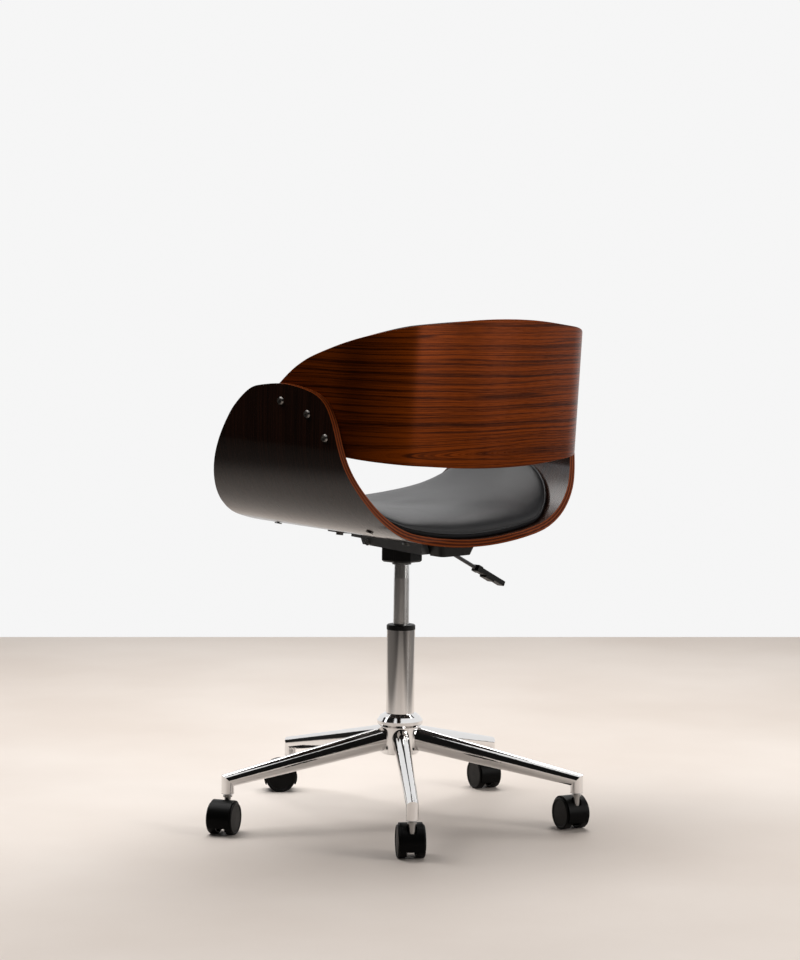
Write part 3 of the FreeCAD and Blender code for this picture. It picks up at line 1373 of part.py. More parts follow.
def cushion_section(along, reach, thick):
    """Section across the cushion: its foot inside the plywood, two edges and a crown."""
    floor = sizes.ply_thick + sizes.seat_gap
    foot = floor - sizes.overrun
    big_run, full_run = u_runs(along)
    edge = floor + min(sizes.cushion_edge, thick * 0.7)
    piping = floor + min(sizes.cushion_piping, thick * 0.4)
    nose = sizes.cushion_nose
    bend = min(big_run, reach * 0.6)
    shoulder, hill = reach - nose, reach / 2
    crown = [(share * reach, edge + (floor + thick - edge) * up) for share, up in CROWN_SHARES]

    def at(side, run, depth):
        return u_point(side * run, depth, along)

    half = []
    for side in SIDES:
        tip = at(side, reach - 1, foot)
        half.append([
            arc(at(side, bend, foot), at(side, (bend + reach) / 2, foot), tip),
            arc(tip, at(side, reach, (foot + piping) / 2), at(side, reach - 1, piping)),
            arc(at(side, reach - 1, piping), at(side, reach - nose * 0.35, (piping + edge) / 2),
                at(side, shoulder, edge)),
            arc(at(side, shoulder, edge), at(side, *crown[0]), at(side, *crown[1])),
            arc(at(side, *crown[1]), at(side, *crown[2]), at(side, 0, floor + thick)),
        ])
    under = arc(at(-1, bend, foot), at(1, 0, foot), at(1, bend, foot))
    return Part.Wire(Part.__sortEdges__(half[0] + half[1] + [under]))


cushion_long = sizes.cushion_front + sizes.cushion_rear
sections = [
    cushion_section(
        -sizes.cushion_front + cushion_long * share,
        sizes.cushion_reach * wide,
        sizes.cushion_thick * deep,
    )
    for share, wide, deep in CUSHION_SHARES
]
cushion_shape = Part.makeLoft(sections, True, False)
inside_run = u_runs(0)[1] + sizes.arm_height
inside = u_band(sizes.ply_thick + sizes.seat_gap, sizes.arm_bend_radius / 2, inside_run,
                sizes.shell_rear + sizes.overrun, sizes.shell_front + sizes.overrun)
cushion_shape = cushion_shape.common(inside)
for bore in screw_bores:
    cushion_shape = cushion_shape.cut(bore)
shaped("seat_cushion", cushion_shape, SEAT_TILT)


# Back cushion: it follows the inner face of the back panel

pad_outer = sizes.panel_thick + sizes.seat_gap
pad_shape = panel_band(pad_outer, pad_outer + sizes.pad_thick, sizes.panel_bottom,
                       sizes.panel_top + sizes.overrun * 2, sizes.pad_front)
pad_shape = pad_shape.common(across(panel_profile(sizes.pad_rise, sizes.pad_lift), WIDEST))
for pocket in nut_pockets:
    pad_shape = pad_shape.cut(pocket)
shaped("back_cushion", pad_shape, SEAT_TILT)


# Checks and export

doc.recompute()
failed = [item.Label for item in doc.Objects if "Invalid" in item.State or "Error" in item.State]
for piece in SUBPARTS:
    if piece.Shape.isNull() or not piece.Shape.isValid() or not piece.Shape.Solids:
        failed.append(piece.Label)
if failed:
    raise RuntimeError("not sound: " + ", ".join(failed))
os.makedirs("parts", exist_ok=True)
for piece in SUBPARTS:
    piece.Shape.exportStep("parts/%s.step" % piece.Label)
print(len(SUBPARTS), "sub-parts")
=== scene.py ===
# An office chair: a bent walnut bucket with black leather pads on a chromed five-leg base.
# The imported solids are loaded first; the plywood and the pads are then rebuilt over them,
# and every other piece keeps its solid and gets its finish.
import math

import bmesh
import bpy
from mathutils import Matrix, Vector


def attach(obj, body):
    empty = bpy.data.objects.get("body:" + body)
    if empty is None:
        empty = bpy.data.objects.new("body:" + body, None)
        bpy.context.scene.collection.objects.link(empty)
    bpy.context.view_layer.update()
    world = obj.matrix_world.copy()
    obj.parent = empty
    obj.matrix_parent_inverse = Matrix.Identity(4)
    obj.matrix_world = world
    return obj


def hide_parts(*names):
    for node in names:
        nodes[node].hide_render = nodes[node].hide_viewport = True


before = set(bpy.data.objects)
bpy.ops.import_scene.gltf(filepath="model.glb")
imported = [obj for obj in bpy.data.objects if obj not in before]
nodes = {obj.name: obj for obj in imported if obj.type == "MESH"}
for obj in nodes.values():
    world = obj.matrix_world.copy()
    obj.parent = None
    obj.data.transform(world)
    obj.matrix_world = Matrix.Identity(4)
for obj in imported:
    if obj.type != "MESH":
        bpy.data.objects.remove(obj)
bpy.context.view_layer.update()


# Studio: a pale concrete floor that ends behind the chair with white beyond it, soft lamps
# at both sides and overhead, and black curtains that only polished pieces mirror. Outside
# the picture the floor's colour is darkened with painted shade, so that those pieces mirror
# a dark room.
view_turn = math.radians(46)
to_right = Vector((-math.cos(view_turn), math.sin(view_turn), 0))
to_camera = Vector((math.sin(view_turn), math.cos(view_turn), 0))
upward = Vector((0, 0, 1))


def studio_spot(right, near, high):
    """Point at distances to the chair's right, towards the camera and up."""
    return to_right * right + to_camera * near + upward * high


def board(name, corners):
    """A flat four-cornered board of the studio."""
    mesh = bpy.data.meshes.new(name)
    mesh.from_pydata([studio_spot(*corner) for corner in corners], [], [(0, 1, 2, 3)])
    piece = bpy.data.objects.new(name, mesh)
    bpy.context.scene.collection.objects.link(piece)
    return piece


def new_finish(name):
    """A new material, with its node tree and its shader."""
    finish = bpy.data.materials.new(name)
    finish.use_nodes = True
    return finish, finish.node_tree, finish.node_tree.nodes["Principled BSDF"]


def set_inputs(node, values):
    """Writes constant values to a node's named inputs."""
    for label, value in values.items():
        node.inputs[label].default_value = value


def sums(tree, operation, first, second=0):
    """One math node on two sockets or numbers."""
    step = tree.nodes.new("ShaderNodeMath")
    step.operation = operation
    for slot, value in enumerate((first, second)):
        if isinstance(value, (int, float)):
            step.inputs[slot].default_value = value
        else:
            tree.links.new(value, step.inputs[slot])
    return step.outputs[0]


def noise(tree, vector, scale, detail, stretch=(1, 1, 1)):
    """A noise texture on a stretched vector; gives back its grey output."""
    mapped = tree.nodes.new("ShaderNodeMapping")
    mapped.inputs["Scale"].default_value = stretch
    tree.links.new(vector, mapped.inputs["Vector"])
    cloud = tree.nodes.new("ShaderNodeTexNoise")
    set_inputs(cloud, {"Scale": scale, "Detail": detail})
    tree.links.new(mapped.outputs["Vector"], cloud.inputs["Vector"])
    return cloud.outputs["Fac"]


def two_tone(tree, value, first, last):
    """A ramp between two colours, each given with its place."""
    ramp = tree.nodes.new("ShaderNodeValToRGB")
    for element, (position, colour) in zip(ramp.color_ramp.elements, (first, last)):
        element.position = position
        element.color = (*colour, 1)
    tree.links.new(value, ramp.inputs["Fac"])
    return ramp.outputs["Color"]


def eased_range(tree, value, start, end, low=0.0, high=1.0):
    """A number that goes smoothly from low at start to high at end."""
    ramp = tree.nodes.new("ShaderNodeMapRange")
    ramp.interpolation_type = "SMOOTHSTEP"
    set_inputs(ramp, {"From Min": start, "From Max": end, "To Min": low, "To Max": high})
    tree.links.new(value, ramp.inputs["Value"])
    return ramp.outputs["Result"]


floor_wide, floor_near = 7, 6.5
floor_end, floor_skew = -2.368, -0.0864
floor = board("studio_floor", [
    (-floor_wide, floor_end - floor_wide * floor_skew, 0),
    (floor_wide, floor_end + floor_wide * floor_skew, 0),
    (floor_wide, floor_near, 0),
    (-floor_wide, floor_near, 0),
])
near_shade, side_shade, shade_slope, shade_share = (0.95, 3.1), (0.76, 1.5), 0.17, 0.2
shaded_sides = (
    (to_camera, near_shade),
    (to_right + to_camera * shade_slope, side_shade),
    (to_camera * shade_slope - to_right, side_shade),
)
concrete, tree, shader = new_finish("pale_concrete")
floor_place = tree.nodes.new("ShaderNodeTexCoord").outputs["Object"]
clouds = noise(tree, floor_place, scale=1.1, detail=6)
tone = two_tone(tree, clouds, (0.35, (0.70, 0.625, 0.565)), (0.68, (0.80, 0.735, 0.68)))
# Painted shade: the floor's colour is darkened towards the camera and to both sides.
for way, (start, end) in shaded_sides:
    along = tree.nodes.new("ShaderNodeVectorMath")
    along.operation = "DOT_PRODUCT"
    along.inputs[1].default_value = way
    tree.links.new(floor_place, along.inputs[0])
    shade = eased_range(tree, along.outputs["Value"], start, end, low=1.0, high=shade_share)
    deepen = tree.nodes.new("ShaderNodeVectorMath")
    deepen.operation = "SCALE"
    tree.links.new(tone, deepen.inputs[0])
    tree.links.new(shade, deepen.inputs["Scale"])
    tone = deepen.outputs["Vector"]
tree.links.new(tone, shader.inputs["Base Color"])
set_inputs(shader, {"Roughness": 0.62, "Specular IOR Level": 0.25})
floor.data.materials.append(concrete)
floor.visible_diffuse = False

black_cloth, tree, shader = new_finish("black_cloth")
set_inputs(shader, {"Base Color": (0.012, 0.011, 0.01, 1), "Roughness": 1.0})
curtain_hem, curtain_high, curtain_drop = 0.02, 9.0, 1.6
curtain_left, curtain_right, curtain_near = -3.2, 4.6, 5.6
left_start, right_start = -2.2, -0.7
curtains = {
    "curtain_left": [
        (curtain_left, left_start, curtain_hem), (curtain_left, curtain_near, curtain_hem),
        (curtain_left, curtain_near, curtain_high), (curtain_left, left_start, curtain_drop),
    ],
    "curtain_near": [
        (curtain_left, curtain_near, curtain_hem), (curtain_right, curtain_near, curtain_hem),
        (curtain_right, curtain_near, curtain_high), (curtain_left, curtain_near, curtain_high),
    ],
    "curtain_right": [
        (curtain_right, right_start, curtain_hem), (curtain_right, curtain_near, curtain_hem),
        (curtain_right, curtain_near, curtain_high), (curtain_right, right_start, curtain_drop),
    ],
}
for name, corners in curtains.items():
    curtain = board(name, corners)
    curtain.data.materials.append(black_cloth)
    curtain.visible_camera = False
    curtain.visible_diffuse = False
    curtain.visible_shadow = False


def lamp(name, spot, aim, wide, tall, power, colour):
    """A soft rectangular lamp that looks from a spot to an aim."""
    light = bpy.data.lights.new(name, "AREA")
    light.shape = "RECTANGLE"
    light.size, light.size_y = wide, tall
    light.energy = power
    light.color = colour
    piece = bpy.data.objects.new(name, light)
    bpy.context.scene.collection.objects.link(piece)
    piece.location = studio_spot(*spot)
    line = studio_spot(*aim) - piece.location
    piece.rotation_euler = line.to_track_quat("-Z", "Y").to_euler()


warm_white, soft_white, cool_white = (1.0, 0.97, 0.94), (1.0, 0.985, 0.97), (0.94, 0.95, 1.0)
lamp("softbox_right", spot=(2.5, 1.2, 1.35), aim=(0, 0, 0.65),
     wide=0.6, tall=1.8, power=28, colour=warm_white)
lamp("softbox_rear", spot=(2.84, 0.1, 1.1), aim=(0, 0, 0.65),
     wide=0.4, tall=1.5, power=7, colour=warm_white)
lamp("softbox_top", spot=(-0.4, -0.85, 3.0), aim=(0.0, -0.1, 0.0),
     wide=4.2, tall=2.0, power=132, colour=soft_white)
lamp("strip_left", spot=(-1.9, -0.3, 2.3), aim=(0, 0, 0.7),
     wide=0.7, tall=1.0, power=5, colour=cool_white)

world = bpy.data.worlds.new("studio_world")
bpy.context.scene.world = world
world.use_nodes = True
tree = world.node_tree
air = tree.nodes["Background"]
set_inputs(air, {"Color": (0.92, 0.93, 0.95, 1), "Strength": 0.07})
white = tree.nodes.new("ShaderNodeBackground")
white.inputs["Color"].default_value = (0.92, 0.92, 0.92, 1)
path = tree.nodes.new("ShaderNodeLightPath").outputs
seen = sums(tree, "MAXIMUM", path["Is Camera Ray"], path["Is Glossy Ray"])
seen = sums(tree, "MAXIMUM", seen, path["Is Transmission Ray"])
backdrop = tree.nodes.new("ShaderNodeMixShader")
tree.links.new(seen, backdrop.inputs["Fac"])
tree.links.new(air.outputs["Background"], backdrop.inputs[1])
tree.links.new(white.outputs["Background"], backdrop.inputs[2])
tree.links.new(backdrop.outputs["Shader"], tree.nodes["World Output"].inputs["Surface"])

lens = bpy.data.cameras.new("studio_camera")
lens.sensor_fit = "VERTICAL"
lens.sensor_height = 36
lens.lens = 88.31
camera = bpy.data.objects.new("studio_camera", lens)
bpy.context.scene.collection.objects.link(camera)
bpy.context.scene.camera = camera
camera_away, camera_high = 4.13174, 0.89237
yaw, pitch, roll = -0.00115, 0.06988, 0.01162
side = to_right * math.cos(yaw) + to_camera * math.sin(yaw)
ahead = to_right * math.sin(yaw) - to_camera * math.cos(yaw)
above = upward * math.cos(pitch) + ahead * math.sin(pitch)
ahead = ahead * math.cos(pitch) - upward * math.sin(pitch)
across = side * math.cos(roll) + above * math.sin(roll)
above = above * math.cos(roll) - side * math.sin(roll)
camera_turn = Matrix((across, above, -ahead)).transposed().to_4x4()
camera_spot = studio_spot(0, camera_away, camera_high)
camera.matrix_world = Matrix.Translation(camera_spot) @ camera_turn
bpy.context.scene.view_settings.view_transform = "Standard"


# Base: a chromed hub with five drawn tube legs, each mitred down to an upright socket with
# a zinc sleeve. The chrome is polished and has faint wiping marks.
def grouped(name, inputs, outputs):
    """An empty effect group with named number or colour sockets."""
    made = bpy.data.node_groups.new(name, "ShaderNodeTree")
    for label, kind, start in inputs:
        socket = made.interface.new_socket(name=label, in_out="INPUT", socket_type=kind)
        socket.default_value = start
    for label, kind in outputs:
        made.interface.new_socket(name=label, in_out="OUTPUT", socket_type=kind)
    given = made.nodes.new("NodeGroupInput").outputs
    return made, given, made.nodes.new("NodeGroupOutput").inputs


def finish_of(name, effect, values, relief, depth, constants):
    """A material from an effect's group with its values, the strength and the depth of its
    relief, and the constants of its shader."""
    finish, tree, shader = new_finish(name)
    set_inputs(shader, constants)
    placed = tree.nodes.new("ShaderNodeGroup")
    placed.node_tree = effect
    set_inputs(placed, values)
    bump = tree.nodes.new("ShaderNodeBump")
    set_inputs(bump, {"Strength": relief, "Distance": depth})
    for label, socket in (("Colour", "Base Color"), ("Roughness", "Roughness")):
        if label in placed.outputs:
            tree.links.new(placed.outputs[label], shader.inputs[socket])
    tree.links.new(placed.outputs["Height"], bump.inputs["Height"])
    tree.links.new(bump.outputs["Normal"], shader.inputs["Normal"])
    return finish


FLOAT, COLOUR = "NodeSocketFloat", "NodeSocketColor"
wiping, given, made = grouped("wiping_marks", [
    ("Roughness", FLOAT, 0.1),
    ("Spread", FLOAT, 0.1),
], [("Roughness", FLOAT), ("Height", FLOAT)])
metal_place = wiping.nodes.new("ShaderNodeTexCoord").outputs["Object"]
smear = noise(wiping, metal_place, scale=14, detail=3)
smear = sums(wiping, "SUBTRACT", smear, 0.5)
smear = sums(wiping, "MULTIPLY", smear, given["Spread"])
wiping.links.new(sums(wiping, "ADD", smear, given["Roughness"]), made["Roughness"])
wiping.links.new(noise(wiping, metal_place, scale=420, detail=2), made["Height"])


def metal(name, colour, roughness, spread, relief):
    """A metal finish; wiping marks spread its roughness and raise a fine relief."""
    return finish_of(
        name, wiping, {"Roughness": roughness, "Spread": spread}, relief, depth=0.0002,
        constants={"Base Color": (*colour, 1), "Metallic": 1.0})


def dress(finish, *names):
    """Gives CAD nodes a finish."""
    for name in names:
        mesh = nodes[name].data
        mesh.materials.clear()
        mesh.materials.append(finish)


leg_count = 5
chrome = metal(
    "polished_chrome", (0.80, 0.79, 0.785), roughness=0.06, spread=0.05, relief=0.05)
dress(chrome, "base_hub", *["base_leg_%d" % leg for leg in range(1, leg_count + 1)])
sleeve_zinc = metal("zinc_sleeve", (0.55, 0.55, 0.56), roughness=0.28, spread=0.1, relief=0.1)
dress(sleeve_zinc, "stem_sleeves")


# Casters: black moulded nylon hoods and wheels on plain steel stems and axles.
# The nylon is satin and a shade greyer in patches, where it has picked up dust.
def tinted(tree, share, first, second):
    """A colour between two sockets' colours."""
    mix = tree.nodes.new("ShaderNodeMix")
    mix.data_type = "RGBA"
    tree.links.new(share, mix.inputs["Factor"])
    tree.links.new(first, mix.inputs["A"])
    tree.links.new(second, mix.inputs["B"])
    return mix.outputs["Result"]


nylon_grain, given, made = grouped("moulded_grain", [
    ("Colour", COLOUR, (0.01, 0.01, 0.01, 1)),
    ("Dust", COLOUR, (0.06, 0.055, 0.05, 1)),
    ("Dust share", FLOAT, 0.2),
    ("Roughness", FLOAT, 0.4),
], [("Colour", COLOUR), ("Roughness", FLOAT), ("Height", FLOAT)])
nylon_place = nylon_grain.nodes.new("ShaderNodeTexCoord").outputs["Object"]
dust_dulling = 0.12
pits = noise(nylon_grain, nylon_place, scale=900, detail=2)
patch = noise(nylon_grain, nylon_place, scale=26, detail=4)
dust_cover = sums(nylon_grain, "MULTIPLY", patch, given["Dust share"])
dusted = tinted(nylon_grain, dust_cover, given["Colour"], given["Dust"])
dulled = sums(nylon_grain, "MULTIPLY", patch, dust_dulling)
dulled = sums(nylon_grain, "ADD", given["Roughness"], dulled)
nylon_grain.links.new(dusted, made["Colour"])
nylon_grain.links.new(dulled, made["Roughness"])
nylon_grain.links.new(pits, made["Height"])


def moulded(name, colour, dust, dust_share, roughness, relief, gloss=0.2):
    """A moulded, cast or painted finish with a fine grain."""
    values = {"Colour": (*colour, 1), "Dust": (*dust, 1),
              "Dust share": dust_share, "Roughness": roughness}
    return finish_of(
        name, nylon_grain, values, relief, depth=0.0003,
        constants={"Specular IOR Level": gloss})


hood_nylon = moulded(
    "hood_nylon", colour=(0.0035, 0.0035, 0.0035), dust=(0.012, 0.011, 0.010),
    dust_share=0.25, roughness=0.30, relief=0.2, gloss=0.06)
wheel_nylon = moulded(
    "wheel_nylon", colour=(0.004, 0.004, 0.004), dust=(0.02, 0.018, 0.016),
    dust_share=0.4, roughness=0.40, relief=0.25, gloss=0.12)
stem_steel = metal("stem_steel", (0.36, 0.35, 0.34), roughness=0.3, spread=0.12, relief=0.1)
for number in range(1, leg_count + 1):
    dress(hood_nylon, "caster_hood_%d" % number)
    dress(wheel_nylon, "caster_wheel_left_%d" % number, "caster_wheel_right_%d" % number)
    dress(stem_steel, "caster_stem_%d" % number, "caster_axle_%d" % number)


# Column and lift: a chromed tube with a black guide bush, a ground steel cylinder that
# slides in it, and the rod, bearing, clip and brass valve button inside.
dress(chrome, "column_tube")
bush_black = moulded(
    "bush_black", colour=(0.006, 0.006, 0.006), dust=(0.03, 0.03, 0.03),
    dust_share=0.2, roughness=0.36, relief=0.2)
dress(bush_black, "guide_bush")
cylinder_steel = metal(
    "ground_cylinder", (0.80, 0.80, 0.80), roughness=0.24, spread=0.08, relief=0.1)
dress(cylinder_steel, "gas_cylinder")
bright_steel = metal(
    "bright_steel", (0.56, 0.55, 0.54), roughness=0.22, spread=0.1, relief=0.1)
dress(bright_steel, "piston_rod", "rod_guide", "thrust_bearing", "retaining_clip")
valve_brass = metal("valve_brass", (0.60, 0.42, 0.18), roughness=0.25, spread=0.1, relief=0.1)
dress(valve_brass, "valve_button")


# Tilt mechanism: a cast hub on the cylinder's cone, its axle and two wound springs, an
# eight-sided black tension knob, and the bent lever rod with its moulded handle.
grey_casting = moulded(
    "grey_casting", colour=(0.20, 0.195, 0.19), dust=(0.26, 0.25, 0.24),
    dust_share=0.3, roughness=0.4, relief=0.4, gloss=0.5)
dress(grey_casting, "tilt_hub")
dress(bright_steel, "tilt_axle", "knob_circlip", "spring_seat", "tilt_springs")
knob_black = moulded(
    "knob_black", colour=(0.005, 0.005, 0.005), dust=(0.02, 0.02, 0.02),
    dust_share=0.2, roughness=0.35, relief=0.25)
dress(knob_black, "tension_knob", "lever_handle")
lever_steel = metal(
    "blackened_lever", (0.06, 0.06, 0.062), roughness=0.32, spread=0.1, relief=0.15)
dress(lever_steel, "lever_rod")
bumper_rubber = moulded(
    "bumper_rubber", colour=(0.012, 0.012, 0.012), dust=(0.04, 0.04, 0.04),
    dust_share=0.4, roughness=0.7, relief=0.4)
dress(bumper_rubber, "tilt_bumper")


# Seat pan and rear cover: pressed steel in grey paint under the shell, bolted through its
# ears, with a moulded box behind it, and steel screws that hold the seat cushion.
pan_paint = moulded(
    "pan_paint", colour=(0.30, 0.295, 0.29), dust=(0.36, 0.35, 0.34),
    dust_share=0.3, roughness=0.34, relief=0.2, gloss=0.5)
dress(pan_paint, "seat_pan")
cover_black = moulded(
    "cover_black", colour=(0.006, 0.006, 0.006), dust=(0.02, 0.02, 0.02),
    dust_share=0.3, roughness=0.34, relief=0.3)
dress(cover_black, "rear_cover")
dress(stem_steel, "pan_bolts", "cushion_screws")


# Seat shell: 13 mm bent plywood with walnut veneer, its section a U that opens to the front,
# its arms cut to a rounded outline, its edges eased and showing the layers.
seat_high, seat_pitch = 0.506, math.radians(-2)
seat_place = Matrix.Translation((0, 0, seat_high)) @ Matrix.Rotation(seat_pitch, 4, "X")
ply = 0.013
splay_angle = math.radians(6.6)
arm_splay = math.tan(splay_angle)
arm_square = math.hypot(1, arm_splay)
seat_bend, arm_bend = 0.770, 0.172
arm_level, arm_half = 0.150, 0.2966


def arm_side(along):
    """Distance of the arm's outer face from the middle."""
    return arm_half + arm_splay * (arm_level - along)


def bend_end(along):
    """Angle at which the wide bend goes over into the arm's bend."""
    return math.asin((arm_side(along) - arm_bend) / (seat_bend - arm_bend))


def on_bend(run, depth, along):
    """Point of the U at a run along its outer face and a depth inside it."""
    turn = bend_end(along)
    reach, side = abs(run), math.copysign(1, run)
    if reach <= seat_bend * turn:
        angle = reach / seat_bend
        radius = seat_bend - depth
        high = seat_bend - radius * math.cos(angle)
        return Vector((side * radius * math.sin(angle), along, high))
    angle = min(turn + (reach - seat_bend * turn) / arm_bend, math.pi / 2)
    rise = reach - seat_bend * turn - (angle - turn) * arm_bend
    centre_side = (seat_bend - arm_bend) * math.sin(turn)
    centre_high = seat_bend - (seat_bend - arm_bend) * math.cos(turn)
    wide = centre_side + (arm_bend - depth) * math.sin(angle)
    high = centre_high - (arm_bend - depth) * math.cos(angle)
    return Vector((side * wide, along, high + rise))


def smooth_line(points, steps):
    """A smooth line through points, with a number of steps to each span."""
    knots = [points[0] * 2 - points[1], *points, points[-1] * 2 - points[-2]]
    line = []
    for before, start, end, after in zip(knots, knots[1:], knots[2:], knots[3:]):
        for step in range(steps):
            part = step / steps
            line.append(0.5 * (start * 2 + (end - before) * part
                               + (before * 2 - start * 5 + end * 4 - after) * part ** 2
                               + (start * 3 - before - end * 3 + after) * part ** 3))
    return line + [points[-1]]


def flat_points(pairs, wide, high, low=0.0):
    """Points from pairs of shares of a width and of a height over a lowest line."""
    return [Vector((wide * share, low + high * up)) for share, up in pairs]


ACROSS, UP = 0, 2
longest_run, halvings = 0.75, 34


def run_to(along, depth, coordinate, goal):
    """Run at which the U reaches a goal across or up at a depth."""
    near, far = 0.0, longest_run
    for _ in range(halvings):
        middle = (near + far) / 2
        if on_bend(middle, depth, along)[coordinate] < goal:
            near = middle
        else:
            far = middle
    return near


shell_rear, shell_front, arm_high = 0.183, 0.240, 0.272
arm_rear_shares = (
    (1.0, 0.054), (0.967, 0.176), (0.9, 0.324), (0.798, 0.496), (0.72, 0.665),
    (0.644, 0.809), (0.546, 0.911), (0.383, 0.967), (0.093, 1.0),
)
arm_front_shares = (
    (0.129, 0.985), (0.237, 0.956), (0.346, 0.875), (0.433, 0.772),
    (0.552, 0.565), (0.669, 0.351), (0.767, 0.182),
)
arm_steps = 6
outline = flat_points(arm_rear_shares, shell_rear, arm_high)
outline += flat_points(arm_front_shares, -shell_front, arm_high)
columns = [(point.x, UP, point.y) for point in smooth_line(outline, arm_steps)]
front_corner, front_end, corner_half, front_half = 0.182, 0.201, 0.262, 0.212
corner_steps = 3
for step in range(1, corner_steps + 1):
    share = step / corner_steps
    corner_along = -front_corner - (front_end - front_corner) * share
    columns.append((corner_along, ACROSS, corner_half + (front_half - corner_half) * share))
bow = shell_front - front_end
bow_radius = (front_half ** 2 + bow ** 2) / (2 * bow)
bow_steps, bow_reach = 12, 12.4
for step in range(1, bow_steps + 1):
    half = front_half * math.cos(step / bow_reach * math.pi / 2)
    bow_along = -shell_front + bow_radius - math.sqrt(bow_radius ** 2 - half ** 2)
    columns.append((bow_along, ACROSS, half))


def face_outwards(mesh):
    """Turns all faces of a closed mesh outwards."""
    work = bmesh.new()
    work.from_mesh(mesh)
    bmesh.ops.recalc_face_normals(work, faces=work.faces)
    work.to_mesh(mesh)
    work.free()


def closed_grid(rows, count):
    """Faces of two like grids of points, joined round their rims, and which are rims."""
    back = rows * count
    polygons, rims = [], []
    for row in range(rows - 1):
        for step in range(count - 1):
            first = row * count + step
            far = back + first
            polygons.append((first, first + 1, first + count + 1, first + count))
            polygons.append((far, far + count, far + count + 1, far + 1))
            rims += [0, 0]
    for row in range(rows - 1):
        for step in (0, count - 1):
            first = row * count + step
            polygons.append((first, first + count, back + first + count, back + first))
            rims.append(1)
    for row in (0, rows - 1):
        for step in range(count - 1):
            first = row * count + step
            polygons.append((first, first + 1, back + first + 1, back + first))
            rims.append(1)
    return polygons, rims


ply_ease, ease_steps = 0.0009, 2
sharp_edge, eased_edge = math.radians(40), math.radians(50)


def sheet_mesh(name, faces_out, faces_in, spots):
    """A plywood sheet from two grids of points; spots are its veneer coordinates."""
    rows, count = len(faces_out), len(faces_out[0])
    points = [point for row in faces_out + faces_in for point in row]
    polygons, rims = closed_grid(rows, count)
    mesh = bpy.data.meshes.new(name)
    mesh.from_pydata([seat_place @ point for point in points], [], polygons)
    veneer = mesh.uv_layers.new(name="veneer")
    back = rows * count
    for polygon, rim in zip(mesh.polygons, rims):
        polygon.material_index = rim
        polygon.use_smooth = True
        for loop, vertex in zip(polygon.loop_indices, polygon.vertices):
            spot = spots[vertex % back]
            veneer.data[loop].uv = (spot[0], 0.0 if vertex < back else 1.0) if rim else spot
    mesh.validate()
    face_outwards(mesh)
    mesh.set_sharp_from_angle(angle=sharp_edge)
    piece = bpy.data.objects.new(name, mesh)
    bpy.context.scene.collection.objects.link(piece)
    eased = piece.modifiers.new("eased_edges", "BEVEL")
    eased.width = ply_ease
    eased.segments = ease_steps
    eased.angle_limit = eased_edge
    eased.limit_method = "ANGLE"
    eased.harden_normals = True
    return piece


shell_steps = 72
shell_shares = [2 * step / shell_steps - 1 for step in range(shell_steps + 1)]
outer_rows, inner_rows, veneer_spots = [], [], []
for along, coordinate, goal in columns:
    outer_end = run_to(along, 0, coordinate, goal)
    inner_end = run_to(along, ply, coordinate, goal)
    outer_rows.append([on_bend(share * outer_end, 0, along) for share in shell_shares])
    inner_rows.append([on_bend(share * inner_end, ply, along) for share in shell_shares])
    veneer_spots += [(share * outer_end, along) for share in shell_shares]
shell = sheet_mesh("walnut_shell", outer_rows, inner_rows, veneer_spots)

veneer, given, made = grouped("walnut_figure", [
    ("Light", COLOUR, (0.15, 0.045, 0.012, 1)),
    ("Dark", COLOUR, (0.035, 0.010, 0.004, 1)),
    ("Heart run", FLOAT, 0.0),
    ("Heart height", FLOAT, 0.0),
    ("Heart slope", FLOAT, 0.0),
], [("Colour", COLOUR), ("Roughness", FLOAT), ("Height", FLOAT)])


def worked(operation, first, second=0):
    """One math node of the walnut figure."""
    return sums(veneer, operation, first, second)


def streaks(vector, detail, stretch):
    """A noise of the walnut figure, drawn out along the grain."""
    return noise(veneer, vector, scale=1.0, detail=detail, stretch=stretch)


def veneer_parts(tree):
    """The veneer's coordinates, whole and split into run and height."""
    spot = tree.nodes.new("ShaderNodeUVMap")
    spot.uv_map = "veneer"
    parts = tree.nodes.new("ShaderNodeSeparateXYZ")
    tree.links.new(spot.outputs["UV"], parts.inputs["Vector"])
    return spot.outputs["UV"], parts.outputs


drift_high, ring_scale = 0.014, 100
band_share, strand_share, pore_share = 0.38, 0.42, 0.20
line_pitch, line_wander, line_power = 0.0078, 26, 9
line_start, line_gain, line_depth = 0.34, 5.0, 0.85
lacquer_roughness, pore_dulling = 0.22, 0.12
sheet_spot, parts = veneer_parts(veneer)
drift = noise(veneer, sheet_spot, scale=3.0, detail=2, stretch=(1.0, 2.0, 1.0))
drift = worked("MULTIPLY", worked("SUBTRACT", drift, 0.5), drift_high)
rise = worked("ADD", worked("SUBTRACT", parts["Y"], given["Heart height"]), drift)
reach = worked("MAXIMUM", worked("SUBTRACT", parts["X"], given["Heart run"]), 0)
reach = worked("MULTIPLY", reach, given["Heart slope"])
ring = worked("ADD", worked("MULTIPLY", rise, rise), worked("MULTIPLY", reach, reach))
ring = worked("SQRT", ring)
joined = veneer.nodes.new("ShaderNodeCombineXYZ")
veneer.links.new(parts["X"], joined.inputs["X"])
veneer.links.new(worked("MULTIPLY", ring, ring_scale), joined.inputs["Y"])
grain = joined.outputs["Vector"]
bands = streaks(grain, detail=3, stretch=(0.7, 1.1, 1.0))
strands = streaks(grain, detail=4, stretch=(1.6, 6.0, 1.0))
pores = streaks(grain, detail=2, stretch=(32.0, 16.0, 1.0))
figure = worked("MULTIPLY", bands, band_share)
figure = worked("ADD", figure, worked("MULTIPLY", strands, strand_share))
figure = worked("ADD", figure, worked("MULTIPLY", pores, pore_share))
figure = eased_range(veneer, figure, start=0.37, end=0.58)
wander = streaks(grain, detail=2, stretch=(1.3, 0.42, 1.0))
strength = streaks(grain, detail=2, stretch=(2.6, 0.8, 3.0))
growth = worked("MULTIPLY", ring, 2 * math.pi / line_pitch)
